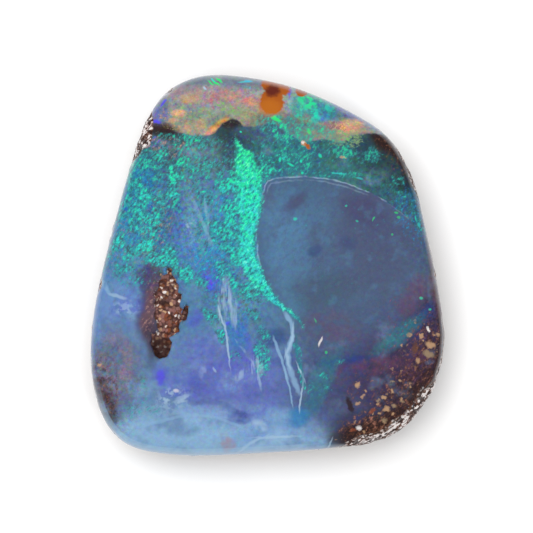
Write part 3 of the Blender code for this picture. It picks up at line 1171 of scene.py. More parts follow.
    vivid: tuple[Patch | Ribbon, ...] = (
        *dabs(
            Tint.DEEP_VIOLET, (206, 280, 12, 5, 58, 0.9, 0.7),
            Tint.VIVID_VIOLET, (207.5, 283.5, 5, 2.6, 62, 0.9, 0.7),
            Tint.DEEP_VIOLET, (224, 279, 10, 8, 30, 0.9, 0.6),
            Tint.VIVID_VIOLET, (160, 377, 3, 6, 0, 0.9, 0.85),
            Tint.DEEP_VIOLET, (160, 374, 6, 9, 0, 0.9, 0.5), (195, 318, 8, 5, -60, 0.9, 0.6),
            Tint.VIVID_VIOLET, (229.5, 324, 2.4, 2.2, 0, 0.9, 0.7),
            Tint.DEEP_VIOLET, (252, 410, 18, 6, -8, 0.9, 0.55, Mottle.CLOUDY),
            (130, 311, 12, 12, 40, 0.9, 0.55, Mottle.CLOUDY),
            (176, 388, 18, 9, 10, 0.9, 0.5, Mottle.CLOUDY),
            (248, 350, 12, 22, -20, 0.9, 0.5, Mottle.CLOUDY),
            (222, 370, 34, 20, 10, 0.9, 0.4, Mottle.CLOUDY), Tint.CERULEAN, (236, 336, 9, 12, 0, 0.9, 0.5),
            Tint.INDIGO, (430, 313, 12, 7, -20, 0.9, 0.75), Tint.TEAL, (398, 333, 24, 6, -36, 0.8, 0.6),
            Tint.INDIGO, (345, 361, 22, 5, -8, 0.9, 0.6), Tint.CERULEAN, (298, 416, 6, 8, 20, 0.9, 0.7),
            Tint.PLUM, (376, 364, 18, 6, -10, 0.9, 0.6, Mottle.CLOUDY),
            (338, 372, 14, 8, 0, 0.9, 0.45, Mottle.CLOUDY), (332, 330, 18, 14, 0, 0.9, 0.4, Mottle.CLOUDY),
            (420, 368, 12, 16, 0, 0.9, 0.4, Mottle.CLOUDY),
        ),
        Ribbon(Tint.INDIGO, ((186, 404), (208, 399), (234, 410)), 2.4, 0.9, 0.3),
        *dabs(
            Tint.INDIGO, (240, 414, 8, 4, 10, 0.9, 0.5, Mottle.CLOUDY), (274, 336, 10, 7, -10, 0.9, 0.65),
        ),
        Ribbon(Tint.STEEL, ((102, 277), (117, 305), (129, 333)), 1.8, 0.9, 0.5),
        *dabs(
            Tint.TEAL, (319, 382, 7, 26, 22, 0.9, 0.5),
            Tint.DUSTY_ROSE, (112, 372, 14, 26, 8, 0.9, 0.35, Mottle.CLOUDY),
            Tint.UMBER, (103, 398, 9, 22, -22, 0.9, 0.85, Mottle.CLOUDY),
            Tint.PURPLE, (149, 302, 9, 36, 4, 0.6, 0.85), Tint.BROWN, (152, 308, 6.0, 30, 4, 0.9, 0.6),
            Tint.PURPLE, (146, 277, 8, 8, 0, 0.8, 0.7), Tint.DUSK, (153, 341, 7, 18, 8, 0.8, 0.7),
        ),
    )
    wisps: tuple[Patch | Ribbon, ...] = (
        Ribbon(Tint.ICE, ((286, 315), (291, 322), (292.5, 332), (291.5, 342)), 1.5, 0.9, 0.75),
        Ribbon(Tint.ICE, ((291, 340), (287.5, 353), (289, 366), (293, 378), (297.5, 389)), 1.9, 0.9, 0.7),
        Ribbon(Tint.MILK, ((293, 328), (291.5, 341), (286.5, 353), (289, 364)), 0.88, 0.9, 0.5),
        Ribbon(Tint.ICE, ((275, 341), (279, 352), (283, 364), (287, 376)), 1.1, 0.9, 0.7),
        Ribbon(Tint.ICE, ((286, 374), (290, 392), (292, 402)), 0.75, 0.9, 0.7),
        Ribbon(Tint.MILK, ((298, 366), (303, 377), (303, 385), (301, 396), (299.5, 407)), 0.68, 0.9, 0.7),
        Ribbon(Tint.MILK, ((222, 288), (220, 304), (221, 318)), 1, 0.9, 0.6, mottle=Mottle.STREAKED),
        Ribbon(Tint.MILK, ((221, 314), (226, 331), (229, 357)), 0.68, 0.9, 0.7),
        *dabs(
            Tint.MILK, (225, 298, 5, 14, 6, 0.9, 0.5, Mottle.STREAKED),
            (233, 310, 4, 14, -14, 0.9, 0.5, Mottle.STREAKED),
        ),
        Ribbon(Tint.ICE, ((196, 206), (203, 222), (213, 248)), 1.5, 0.9, 0.45, mottle=Mottle.CLOUDY),
        Ribbon(Tint.ICE, ((203, 196), (207, 214), (208, 234)), 1.4, 0.9, 0.4, mottle=Mottle.STREAKED),
        *dabs(
            Tint.MILK, (190, 227, 6, 5, -20, 0.9, 0.45, Mottle.SPECKLED),
            (256, 366, 5, 7, -20, 0.9, 0.55, Mottle.STREAKED),
        ),
        Ribbon(Tint.MILK, ((257, 371), (260, 384)), 1.22, 0.9, 0.5, mottle=Mottle.STREAKED),
        Ribbon(Tint.MILK, ((240, 345), (249, 357)), 0.95, 0.9, 0.4, mottle=Mottle.CLOUDY),
        *dabs(
            Tint.MILK, (241, 374, 2.6, 5, 40, 0.9, 0.5, Mottle.STREAKED),
            (203, 372, 3, 5, 0, 0.9, 0.35, Mottle.CLOUDY), (215, 369, 0.8, 2.6, -30, 0.9, 0.5),
            (260, 425, 6, 4, 30, 0.8, 0.6, Mottle.CLOUDY),
        ),
        Ribbon(Tint.MILK, ((239, 451), (250, 443), (263, 437), (289, 436)), 0.88, 0.9, 0.5),
        Patch(Tint.MILK, (262, 444), (22, 9), -24, 0.9, 0.25, mottle=Mottle.CLOUDY),
        Ribbon(Tint.ICE, ((150, 424), (170, 418), (192, 414), (215, 416), (239, 426)), 1.09, 0.9, 0.4),
        Ribbon(Tint.MILK, ((328, 448), (331, 440)), 0.61, 0.9, 0.6),
        *dabs(
            Tint.ICE, (105, 285, 7, 1.8, 60, 0.9, 0.6, Mottle.CLOUDY),
            Tint.MILK, (118, 296, 6.5, 1.4, 16, 0.9, 0.5), (168, 395, 7, 3, -50, 0.9, 0.5, Mottle.SPECKLED),
            (183, 397, 5, 1.6, -20, 0.9, 0.45), (180, 401, 5, 1.2, -8, 0.9, 0.4),
            (126, 308, 10, 5, 0, 0.9, 0.4, Mottle.SPECKLED),
            (172, 400, 14, 9, -20, 0.9, 0.3, Mottle.SPECKLED),
            Tint.QUARTZ_AND_GLINT, (176.5, 390, 1.8, 1.4, 0, 0.9, 0.5), (320, 341, 0.8, 3.6, 15, 0.9, 0.8),
            Tint.DUSTY_ROSE, (227, 444, 9, 6, 40, 0.6, 0.6, Mottle.CLOUDY),
        ),
        Ribbon(Tint.TEAL, ((296.5, 342), (297, 357), (302, 370), (303, 384)), 1.02, 0.9, 0.6),
    )
    green_ticks: tuple[Patch, ...] = dabs(
        Zone.ABOVE_SEAM, Tint.PEACOCK, (312, 107, 14, 11, 0, 0.9, 0.6, Mottle.SPECKLED),
        Tint.EMERALD, (308, 101, 8, 6, 20, 0.9, 0.5, Mottle.SPECKLED),
        Zone.ANYWHERE, Tint.PEACOCK, (295.5, 219, 1.3, 1.0, 0, 0.9, 0.5),
        (346, 206, 0.9, 0.7, 0, 0.9, 0.43), Tint.EMERALD, (373, 219.5, 1.9, 0.5, -60, 0.9, 0.53),
        Tint.PEACOCK, (357, 221, 1.0, 0.7, 0, 0.9, 0.37), Tint.EMERALD, (396, 213, 1.3, 0.8, 10, 0.9, 0.5),
        (398, 217.5, 1.0, 0.9, 0, 0.9, 0.43), (392, 234.5, 1.0, 1.0, 0, 0.9, 0.43),
        Tint.PEACOCK, (415.5, 218.5, 0.7, 1.8, -25, 0.9, 0.56),
        Tint.TURQUOISE, (419, 225, 0.9, 1.9, -20, 0.9, 0.5),
        Tint.PEACOCK, (421, 298.5, 1.3, 1.0, 0, 0.9, 0.5), (429.5, 309, 1.0, 0.9, 0, 0.9, 0.5),
        (280, 160, 1.0, 1.8, 0, 0.9, 0.77), (301, 162, 0.8, 1.0, 0, 0.9, 0.77),
        (291, 165, 2.8, 0.7, 20, 0.9, 0.68), (302, 173, 1.0, 1.0, 0, 0.9, 0.68),
        (320, 156, 1.7, 1.0, 30, 0.9, 0.68), Tint.TURQUOISE, (338, 173.5, 4.5, 0.6, 2, 0.9, 0.59),
        (359, 178.5, 2.8, 0.7, 10, 0.9, 0.51), Tint.EMERALD, (276, 119.5, 3.6, 1.3, 25, 0.9, 0.85),
        (309, 132, 1.3, 2.3, -10, 0.9, 0.68), (326, 352, 1.2, 1.0, -40, 0.9, 0.5),
        (315, 320, 2.0, 0.6, 70, 0.9, 0.31), Tint.PEACOCK, (241, 132, 0.7, 0.7, 0, 0.9, 0.77),
        Zone.ABOVE_SEAM, Tint.EMERALD, (219.5, 80.5, 2.6, 0.8, 42, 0.9, 0.95),
        (216, 83.5, 3.3, 0.7, 38, 0.9, 0.95), (211, 83.5, 2.7, 0.6, 36, 0.9, 0.9),
        Tint.TURQUOISE, (213, 80.5, 2.2, 0.6, 30, 0.9, 0.8),
        Tint.CYAN, (248.5, 81.7, 3.0, 0.9, 4, 0.9, 0.95), Tint.TURQUOISE, (242, 82, 3.0, 0.6, -6, 0.9, 0.7),
        (249.5, 92, 1.1, 3.6, 12, 0.9, 0.7, Mottle.SPECKLED), Tint.MILK, (205, 89, 1.6, 0.8, 45, 0.9, 0.9),
        Tint.VIVID_VIOLET, (163.5, 103.5, 3.3, 0.9, -48, 0.9, 0.8), (156, 122, 4.0, 1.2, 6, 0.9, 0.85),
        (289.8, 92.5, 1.3, 2.9, 10, 0.9, 0.7),
    )
    inclusions: tuple[Patch, ...] = dabs(
        Tint.AMBER, (272, 102, 11.6, 12.4, 0, 0.10, 1.0), (276, 87.5, 15, 7.4, 14, 0.12, 1.0),
        (301.4, 91.5, 6.0, 6.2, 20, 0.14, 1.0), Tint.AMBER_LIGHT, (270, 108, 8, 6, 0, 0.9, 0.75),
        Tint.AMBER_DARK, (272.7, 91.2, 6.4, 5.2, 0, 0.5, 0.9), Tint.RUST, (302, 91, 4.4, 3, 25, 0.7, 0.5),
        Tint.SAND, (303.5, 143.5, 2.8, 2.0, 50, 0.5, 0.95),
        Tint.QUARTZ_AND_GLINT, (302.8, 142.6, 1.5, 1.0, 50, 0.6, 0.8),
        Tint.AMBER, (307.5, 146.5, 3.6, 1.7, 38, 0.4, 0.95),
        Tint.SAND, (342.5, 158, 2.6, 1.2, 10, 0.6, 0.7), (430.4, 344.4, 4.6, 2.7, 14, 0.5, 0.84),
        Tint.TAN, (427.7, 353.8, 4.8, 2.8, 24, 0.5, 0.79), Tint.SMOKE, (429, 362, 3.8, 2.0, -16, 0.65, 0.7),
        Tint.SAND, (437.6, 334.4, 2.1, 1.5, 20, 0.65, 0.79), Tint.TAN, (408, 334, 2.2, 1.4, -20, 0.65, 0.7),
        Tint.SAND, (421, 335.6, 1.5, 2.2, 10, 0.65, 0.75), Tint.BROWN, (414, 348, 2.1, 4.3, 10, 0.85, 0.7),
        Tint.SAND, (417.7, 360, 1.7, 2.2, 0, 0.65, 0.7),
        Tint.TAN, (401, 353, 3.8, 1.9, -20, 0.9, 0.62, Mottle.SPECKLED),
        Tint.SAND, (357.4, 384.6, 2.2, 2.2, 30, 0.75, 0.84), (362, 396, 1.7, 1.3, -20, 0.75, 0.7),
        (364.8, 391, 1.2, 1.0, 30, 0.75, 0.7), (357.6, 403.4, 1.5, 1.4, 0, 0.75, 0.7),
        (383.2, 396.6, 2.1, 1.5, 10, 0.65, 0.79), Tint.TAN, (378, 400, 1.5, 1.5, 0, 0.65, 0.7),
        Tint.SAND, (391.6, 390.6, 1.2, 2.1, 0, 0.75, 0.75), (400, 380.6, 1.5, 1.3, 0, 0.75, 0.75),
        Tint.TAN, (391.6, 381, 1.9, 0.9, 10, 0.75, 0.7),
        Tint.SAND, (410, 384, 2.6, 1.9, 0, 0.75, 0.7, Mottle.SPECKLED),
        (386.4, 408.6, 2.8, 1.9, -20, 0.65, 0.79), Tint.TAN, (393.6, 405.4, 2.2, 1.3, -10, 0.65, 0.79),
        (402, 401, 2.1, 1.1, 15, 0.65, 0.7), (384, 420, 2.4, 2.1, 0, 0.75, 0.7),
        Tint.SAND, (380, 413, 1.3, 0.9, 0, 0.75, 0.7), Tint.RUST, (372.6, 410.5, 2.8, 1.4, -35, 0.75, 0.7),
        # Painted highlight: a white glint on the rough rim at the lower right.
        Tint.QUARTZ_AND_GLINT, (359, 427.8, 2.8, 2.0, 10, 0.5, 0.85),
        Tint.RUST, (352.5, 429.5, 2.2, 1.5, -20, 0.75, 0.7),
        Tint.UMBER, (349.4, 404, 2.8, 7.0, -20, 0.4, 0.85),
        # The first dab here is a painted glint on the right rim.
        Tint.QUARTZ_AND_GLINT, (427.8, 329.6, 1.3, 2.4, -10, 0.5, 0.95), Tint.SAND, (100, 365, 1.6, 1.4, 0, 0.6, 0.8),
    )
    grainy_zones: tuple[Patch, ...] = dabs(
        Tint.PEARL, (160, 200, 62, 74, 0, 0.5, 0.85), (260, 130, 130, 46, 0, 0.4, 0.6),
        (235, 240, 34, 80, 0, 0.6, 0.8), (400, 200, 44, 60, -20, 0.6, 0.7),
        (400, 350, 80, 90, 20, 0.8, 0.25), (108, 385, 26, 40, 0, 0.8, 0.5),
        (240, 350, 60, 60, 0, 0.8, 0.14),
    )
    sandy_zones: tuple[Patch, ...] = dabs(
        Tint.SAND, (418, 356, 22, 34, 20, 0.6, 0.9), (396, 400, 40, 20, -40, 0.6, 0.9),
        (368, 432, 28, 12, -18, 0.6, 1.0),
    )
    rim_rust: tuple[Patch, ...] = dabs(
        Tint.UMBER, (430, 405, 24, 58, 44, 0.5, 0.95), (374, 435, 36, 14, -22, 0.5, 0.97),
        (363, 431, 24, 9, -24, 0.8, 0.8), (446, 356, 8, 46, 4, 0.7, 0.95),
        Tint.BROWN, (437, 268, 5, 60, -10, 0.7, 0.5),
    )


class FaceMap:
    """Masks on the stone, worked out from where a point lies in the photo's frame."""

    coarse_drift: float = 22.0
    fine_drift: float = 7.0
    light_drift: float = 3.6
    ragged_drift: float = 4.4

    def __init__(self, board: NodeBoard, marks: FaceMarks) -> None:
        """Lays out the coordinates, the shared noises and the zones that other masks use.

        Args:
            board: The material's nodes.
            marks: The face's marks.
        """
        self.board = board
        self.ovals = OvalGroup()
        pixels_per_metre = PIXELS_PER_MM / MM
        place = board.node("ShaderNodeTexCoord").outputs["Object"]
        scale = (pixels_per_metre, -pixels_per_metre, pixels_per_metre)
        self.solid = board.vector("MULTIPLY", place, scale)
        flat = board.vector("MULTIPLY_ADD", self.solid, (1.0, 1.0, 0.0), (*STONE_CENTRE, 1.0))
        soft = self._warp(flat, 48.0, self.coarse_drift)
        self.loose = self._warp(soft, 13.0, self.fine_drift)
        self.close = self._warp(flat, 8.0, self.light_drift)
        self.ragged = self._warp(self.close, 3.0, self.ragged_drift)
        self.cloud = board.level(self.solid, 34.0, 3.0, 0.6)
        self.blotch = board.level(self.solid, 15.0, 2.0, 0.55)
        self.speck = board.level(self.solid, 6.5, 2.0, 0.6)
        self.fibre = board.level(board.vector("MULTIPLY", self.solid, (1.0, 0.16, 1.0)), 3.4, 2.0, 0.6)
        self.x = board.measure("DOT_PRODUCT", self.close, (1.0, 0.0, 0.0))
        self.y = board.measure("DOT_PRODUCT", self.close, (0.0, 1.0, 0.0))
        self.z = board.measure("DOT_PRODUCT", self.solid, (0.0, 0.0, 1.0))
        below = (self.y - self._read_line(self.x, marks.seam_line)).rise(-1.5, 1.5)
        self.lens_depth = self._disc(marks.lens_left).over(self._disc(marks.lens_top))
        lens = self.oval(self.loose, marks.lens_fade) * self.lens_depth.rise(1.2, -1.2)
        self.zones = {
            Zone.ABOVE_SEAM: 1.0 - below,
            Zone.BELOW_SEAM: below,
            Zone.IN_LENS: lens,
            Zone.OUTSIDE_LENS: 1.0 - lens,
        }
        self.mottles = {
            Mottle.CLOUDY: self.blotch.rise(0.36, 0.6),
            Mottle.SPECKLED: self.speck.rise(0.45, 0.62),
            Mottle.STREAKED: self.fibre.rise(0.36, 0.62),
        }

    def _warp(self, place: Socket, period: float, size: float) -> Socket:
        """Shifts a place in the photo's frame by noise.

        Args:
            place: The place.
            period: The size of the noise's features.
            size: How far it shifts.

        Returns:
            The shifted place.
        """
        drift = self.board.noise(self.solid, period).outputs["Color"]
        centred = self.board.vector("SUBTRACT", drift, (0.5, 0.5, 0.5))
        return self.board.vector("MULTIPLY_ADD", centred, (size, size, 0.0), place)

    def along(self, lean: float, stretch: float, seed: float = 0.0) -> Socket:
        """A place for noise whose features are drawn out one way.

        Args:
            lean: The way, in degrees down from the photo's right.
            stretch: How far they are drawn out.
            seed: A shift that gives other noise.

        Returns:
            The place.
        """
        turned = {
            "Vector": self.solid,
            "Location": (seed, 0.0, seed),
            "Rotation": (0.0, 0.0, math.radians(lean)),
            "Scale": (stretch, 1.0, 1.0),
        }
        return self.board.node("ShaderNodeMapping", {"vector_type": "TEXTURE"}, turned).outputs[0]

    def _read_line(self, along: Value, line: Sequence[Pixel]) -> Value:
        """The height of a line of pixels above a place along it.

        Args:
            along: The place along it.
            line: The line's pixels.

        Returns:
            The height in pixels.
        """
        points = [(x / PHOTO_SIDE, y / PHOTO_SIDE) for x, y in line]
        curve = self.board.value("ShaderNodeFloatCurve", {"curve": points}, {"Value": along / PHOTO_SIDE})
        return curve * PHOTO_SIDE

    def _disc(self, disc: Triple) -> Value:
        """How far a place lies outside a disc, in pixels."""
        x, y, radius = disc
        return self.board.measure("DISTANCE", self.close, (x, y, 1.0)) - radius

    def _sockets(self, place: Socket, patch: Patch, cover: Term) -> dict[str, Input]:
        """What an oval group's inputs get for a patch.

        Args:
            place: The coordinates that it is drawn in.
            patch: The patch.
            cover: The share of it that shows.

        Returns:
            Values or links by input name.
        """
        along, beside = patch.rows()
        return {
            "Place": place,
            "Along": along,
            "Beside": beside,
            "Outer": (1.0 + patch.softness) ** 2,
            "Inner": (1.0 - patch.softness) ** 2,
            "Strength": patch.strength,
            "Cover": cover,
        }

    def oval(self, place: Socket, patch: Patch, over: Term = 0.0) -> Value:
        """The soft-edged mask of a patch, up to its strength, added to another mask."""
        sockets = self._sockets(place, patch, 1.0) | {"Over": over}
        return self.board.value("ShaderNodeGroup", {"node_tree": self.ovals.mask}, sockets)

    def union(self, place: Socket, patches: Iterable[Patch]) -> Value:
        """The strongest of several patches' masks.

        Args:
            place: The coordinates that they are drawn in.
            patches: The patches.

        Returns:
            The mask.
        """
        mask = 0.0
        for patch in patches:
            mask = self.oval(place, patch, mask)
        return mask

    def cover(self, mark: Patch | Ribbon) -> Term:
        """Where a mark may show and how far it breaks up.

        Args:
            mark: The patch or ribbon.

        Returns:
            The share of it that shows.
        """
        parts = [part for part in (self.zones.get(mark.zone), self.mottles.get(mark.mottle)) if part]
        if len(parts) == 2:
            return parts[0] * parts[1]
        return parts[0] if parts else 1.0

    def lay(self, colour: Shade, place: Socket, marks: Iterable[Patch | Ribbon]) -> Shade:
        """Lays marks over a colour one by one.

        Args:
            colour: The colour under them.
            place: The coordinates that they are drawn in.
            marks: The marks, the lowest first.

        Returns:
            The colour with the marks on it.
        """
        for mark in marks:
            cover = self.cover(mark)
            if isinstance(mark, Ribbon):
                mask = self.union(place, mark.links()) * mark.strength
                colour = self.board.mix(mask * cover, colour, mark.tint)
                continue
            sockets = self._sockets(place, mark, cover) | {"Under": colour, "Tint": mark.tint}
            colour = self.board.node("ShaderNodeGroup", {"node_tree": self.ovals.dab}, sockets).outputs[0]
        return colour

    def depth_in(self, rows: Sequence[Triple]) -> Value:
        """How many pixels inside a band down the face a place lies.

        Args:
            rows: (y, middle, half width) down the band.

        Returns:
            The depth, below 0 outside the band.
        """
        reach = max(abs(half) for _, _, half in rows)
        middle = self._read_line(self.y, [(y, x) for y, x, _ in rows])
        width = self._read_line(self.y, [(y, half + reach) for y, _, half in rows])
        return width - reach - abs(self.x - middle)


@dataclass(frozen=True)
class OpalFinish:
    """The stone's material: polished opal with its play of colour, and bare ironstone."""

    marks: FaceMarks = field(default_factory=FaceMarks)
    polish: float = 0.09
    rock_roughness: float = 0.62
    quartz_shine: float = 0.3
    opal_ior: float = 1.45
    bump_strength: float = 0.5
    bump_height: float = 0.06 * MM
    rough_edge: float = 0.8
    grain_strength: float = 0.2
    hue_contrast: float = 1.7
    hue_period: float = 4.2
    grain_period: float = 4.6
    glint_period: float = 2.9
    granule_period: float = 3.6
    crust_lean: float = -38.0
    crust_stretch: float = 3.6
    crust_heights: tuple[float, float] = (34.0, 42.0)
    wall_heights: tuple[float, float] = (52.0, 24.0)
    wall_raggedness: float = 40.0
    wall_beds: Triple = (0.03, 0.03, 0.16)
    rock_beds: Triple = (0.018, 0.018, 0.11)
    echo_gap: float = 3.4
    lens_gleam: Patch = Patch(Tint.MILK, (308, 212), (84, 66), 0, 0.3, 0.7)
    pocket_foot: Patch = Patch(Tint.UMBER, (160.5, 349), (10, 12), 0, 0.4, 0.85)
    back_heights: tuple[float, float] = (1.6, 0.4)
    saw_bearing: float = 24.0
    saw_stretch: float = 0.015
    saw_period: float = 3.2

    def _ground(self, face: FaceMap) -> Shade:
        """The hazy body colours, the top band, the seam and the clear lens with its milky edge.

        Args:
            face: The face's masks.

        Returns:
            The colour.
        """
        board, marks, lens = face.board, self.marks, face.zones[Zone.IN_LENS]
        colour = board.dye(
            face.lay(Tint.STEEL, face.loose, marks.ground),
            (face.cloud.rise(0.52, 0.30, 0.4), Tint.INDIGO),
            (face.cloud.rise(0.52, 0.75, 0.35), Tint.ICE),
        )
        colour = board.dye(face.lay(colour, face.close, marks.top_band), (lens, Tint.SLATE))
        broken = face.oval(face.close, self.lens_gleam) * face.blotch.rise(0.36, 0.55)
        line = abs(face.lens_depth).rise(1.2, 0.0, 0.72)
        echo = abs(face.lens_depth + self.echo_gap).rise(1.4, 0.0, 0.32) * face.y.rise(205.0, 190.0)
        colour = board.dye(
            face.lay(colour, face.loose, marks.lens_marks),
            (face.cloud.rise(0.54, 0.36, 0.55) * lens, Tint.SMOKE),
            (face.blotch.rise(0.54, 0.72, 0.35) * lens, Tint.STEEL),
            (broken * line.over(echo), Tint.MILK),
        )
        return face.lay(colour, face.close, marks.seam_shade)

    def _grain(self, face: FaceMap, colour: Shade) -> Shade:
        """Fine many-coloured grain, stronger outside the lens and the pale foot of the stone.

        Args:
            face: The face's masks.
            colour: The colour under it.

        Returns:
            The grained colour.
        """
        hues = face.board.noise(face.solid, self.hue_period, 3.0, 0.75).outputs["Color"]
        spread, shift = self.hue_contrast, 0.5 - 0.5 * self.hue_contrast
        hues = face.board.vector("MULTIPLY_ADD", hues, (spread, spread, spread), (shift, shift, shift))
        zone = face.union(face.loose, self.marks.grainy_zones) * face.zones[Zone.OUTSIDE_LENS]
        return face.board.mix(zone + self.grain_strength, colour, hues, "OVERLAY")

    @staticmethod
    def _flecks(face: FaceMap, colour: Shade, fleck: FleckField) -> Shade:
        """Lays one field of flecks over a colour, where its grain stands above what its density asks for.

        Args:
            face: The face's masks.
            colour: The colour under it.
            fleck: The field.

        Returns:
            The colour with the flecks on it.
        """
        grain = face.board.level(face.along(fleck.lean, fleck.stretch, fleck.seed), fleck.size, 3.0, 0.75)
        density = face.union(face.loose, fleck.zones)
        if fleck.zone in face.zones:
            density = density * face.zones[fleck.zone]
        excess = grain - fleck.thin + density * (fleck.thin - fleck.thick)
        present = density.rise(0.0, 0.8, fleck.strength)
        return face.board.dye(
            colour,
            (excess.rise(-0.08, 0.08) * present * 0.8, fleck.dim),
            (excess.rise(0.03, 0.20) * present, fleck.bright),
        )

    def _play(self, face: FaceMap, colour: Shade) -> Shade:
        """The green flash and its skirt of flecks.

        Args:
            face: The face's masks.
            colour: The colour under it.

        Returns:
            The colour with the flecks on it.
        """
        board, green = face.board, FleckField(Tint.SEA, Tint.PEACOCK, self.marks.green_glow, 0.0)
        grain = board.level(face.along(green.lean, green.stretch), green.size, 3.0, 0.75)
        hue = board.level(face.solid, 5.0, 3.0, 0.7)
        clumps = face.blotch.rise(0.38, 0.60, 0.55) + 0.58
        density = face.union(face.loose, green.zones) * face.zones[Zone.OUTSIDE_LENS] * clumps
        inside = face.depth_in(self.marks.flash)
        density = density.over(inside.rise(-6.0, 5.0))
        excess = grain - green.thin + density * (green.thin - green.thick)
        present = density.rise(0.0, 0.7) * (1.0 - face.x.rise(268.0, 304.0, 0.38))
        hollows = density.rise(0.25, 0.8, 0.75) * grain.rise(0.49, 0.36) * face.x.rise(290.0, 255.0)
        colour = board.dye(
            colour,
            (density.rise(0.4, 1.0, 0.45), Tint.DEEP_TEAL),
            (hollows, Tint.SLATE_GREEN),
            (excess.rise(-0.10, 0.08) * present * 0.85, Tint.SEA),
        )
        lower = face.y.rise(205.0, 270.0, 0.6)
        shade = board.dye(
            Tint.PEACOCK,
            (hue.rise(0.42, 0.56, 0.85), Tint.TURQUOISE),
            (lower, Tint.TURQUOISE),
            (face.y.rise(205.0, 140.0, 0.65), Tint.EMERALD),
            (face.speck.rise(0.52, 0.40, 0.35), Tint.EMERALD),
            (hue.rise(0.56, 0.66, 0.6), Tint.CYAN),
        )
        colour = board.mix(inside.rise(-1.0, 7.0, 0.55) * (1.0 - lower * 0.5), colour, shade)
        colour = board.dye(colour, (inside.rise(-1.0, 5.0, 0.9) * grain.rise(0.50, 0.35), Tint.TEAL))
        excess = excess + inside.rise(-1.0, 5.0, 0.05)
        colour = board.mix(excess.rise(0.03, 0.20) * present, colour, shade)
        return board.dye(colour, (inside.rise(-4.0, 5.0, 0.6) * grain.rise(0.56, 0.72), Tint.MINT))

    def _sand(self, face: FaceMap, colour: Shade) -> Shade:
        """Tan sand grains under the polish beside the rough corner.

        Args:
            face: The face's masks.
            colour: The colour under it.

        Returns:
            The colour with the grains in it.
        """
        near, chance, size = face.board.cells(face.ragged, self.grain_period)
        round_top = (size * 0.34 + 0.12 - near).rise(0.0, 0.12, 0.85)
        shade = face.board.dye(Tint.BROWN, (size.rise(0.1, 0.8), Tint.SAND))
        wanted = (face.union(face.loose, self.marks.sandy_zones) * 0.4 - chance).rise(0.0, 0.05)
        return face.board.mix(wanted * round_top * face.speck.rise(0.3, 0.6, 0.9), colour, shade)

    def _face_colour(self, face: FaceMap) -> Shade:
        """The polished face's colour from the ground up.

        Args:
            face: The face's masks.

        Returns:
            The colour.
        """
        marks = self.marks
        colour = face.lay(self._ground(face), face.loose, marks.vivid)
        colour = self._grain(face, face.lay(colour, face.loose, marks.rim_rust))
        for fleck in marks.fields:
            colour = self._flecks(face, colour, fleck)
        colour = self._sand(face, self._play(face, colour))
        colour = face.lay(colour, face.close, marks.wisps)
        colour = face.lay(colour, face.close, marks.green_ticks)
        return face.lay(colour, face.ragged, marks.inclusions)

    def _wall_colour(self, face: FaceMap, opal: Shade) -> Shade:
        """Turns the face's colours into banded grey-blue potch down the wall, with a painted highlight on the
        translucent rim.

        Args:
            face: The face's masks.
            opal: The face's colour.

        Returns:
            The opal's colour on the face and the wall.
        """
        board = face.board
        beds = board.level(board.vector("MULTIPLY", face.solid, self.wall_beds), 1.0, 3.0, 0.6)
        potch = board.dye(
            Tint.SMOKE,
            (beds.rise(0.38, 0.62), Tint.CORNFLOWER),
            (beds.rise(0.56, 0.7, 0.6), Tint.ICE),
        )
        down = face.z + (face.blotch - 0.5) * self.wall_raggedness
        inset = board.attribute("inset")
        # Painted highlight: a pale band along the lower rim, where the translucent edge catches the low
        # lights.
        translucent_rim_and_highlight = inset.rise(0.50, 0.40, 0.4) * face.y.rise(370.0, 425.0)
        return board.dye(
            board.mix(down.rise(*self.wall_heights, 0.8), opal, potch),
            (translucent_rim_and_highlight * face.x.rise(330.0, 290.0), Tint.MILK),
            # Painted highlight: a thin pale line all round the upper rim, over the edge's own translucence.
            (inset.rise(0.3, 0.05, 0.3) * face.z.rise(*self.wall_heights[::-1]), Tint.PEARL),
        )

    def _rock_colour(self, face: FaceMap) -> tuple[Shade, Value]:
        """Bare ironstone: brown sand grains with dark gaps, ochre beds, opal veins and pale quartz grains
        that also serve as painted glints.

        Args:
            face: The face's masks.

        Returns:
            The colour, and how pale and shiny the grain is.
        """
        board = face.board
        near, chance, other = board.cells(face.solid, self.grain_period)
        beds = board.level(board.vector("MULTIPLY", face.solid, self.rock_beds), 1.0, 3.0, 0.6)
        colour = board.dye(
            Tint.UMBER,
            (beds.rise(0.38, 0.6), Tint.BROWN),
            (beds.rise(0.55, 0.72, 0.8), Tint.OCHRE),
            (face.cloud.rise(0.5, 0.66, 0.5), Tint.RUST),
            (chance.rise(0.3, 1.0, 0.45), Tint.TAN),
            (near.rise(0.40, 0.72, 0.75), Tint.UMBER),
            (face.blotch.rise(0.44, 0.30, 0.6), Tint.UMBER),
        )
        vein = abs(beds - 0.47).rise(0.012, 0.004) * face.blotch.rise(0.42, 0.56)
        colour = board.mix(vein * 0.85, colour, board.dye(Tint.TEAL, (other, Tint.CORNFLOWER)))
        # Pale grains: partly the rock's own quartz, partly painted highlight standing in for glints.
        pale = other.rise(0.88, 0.94) * near.rise(0.42, 0.2)
        return board.dye(colour, (pale * 0.9, Tint.QUARTZ_AND_GLINT)), pale

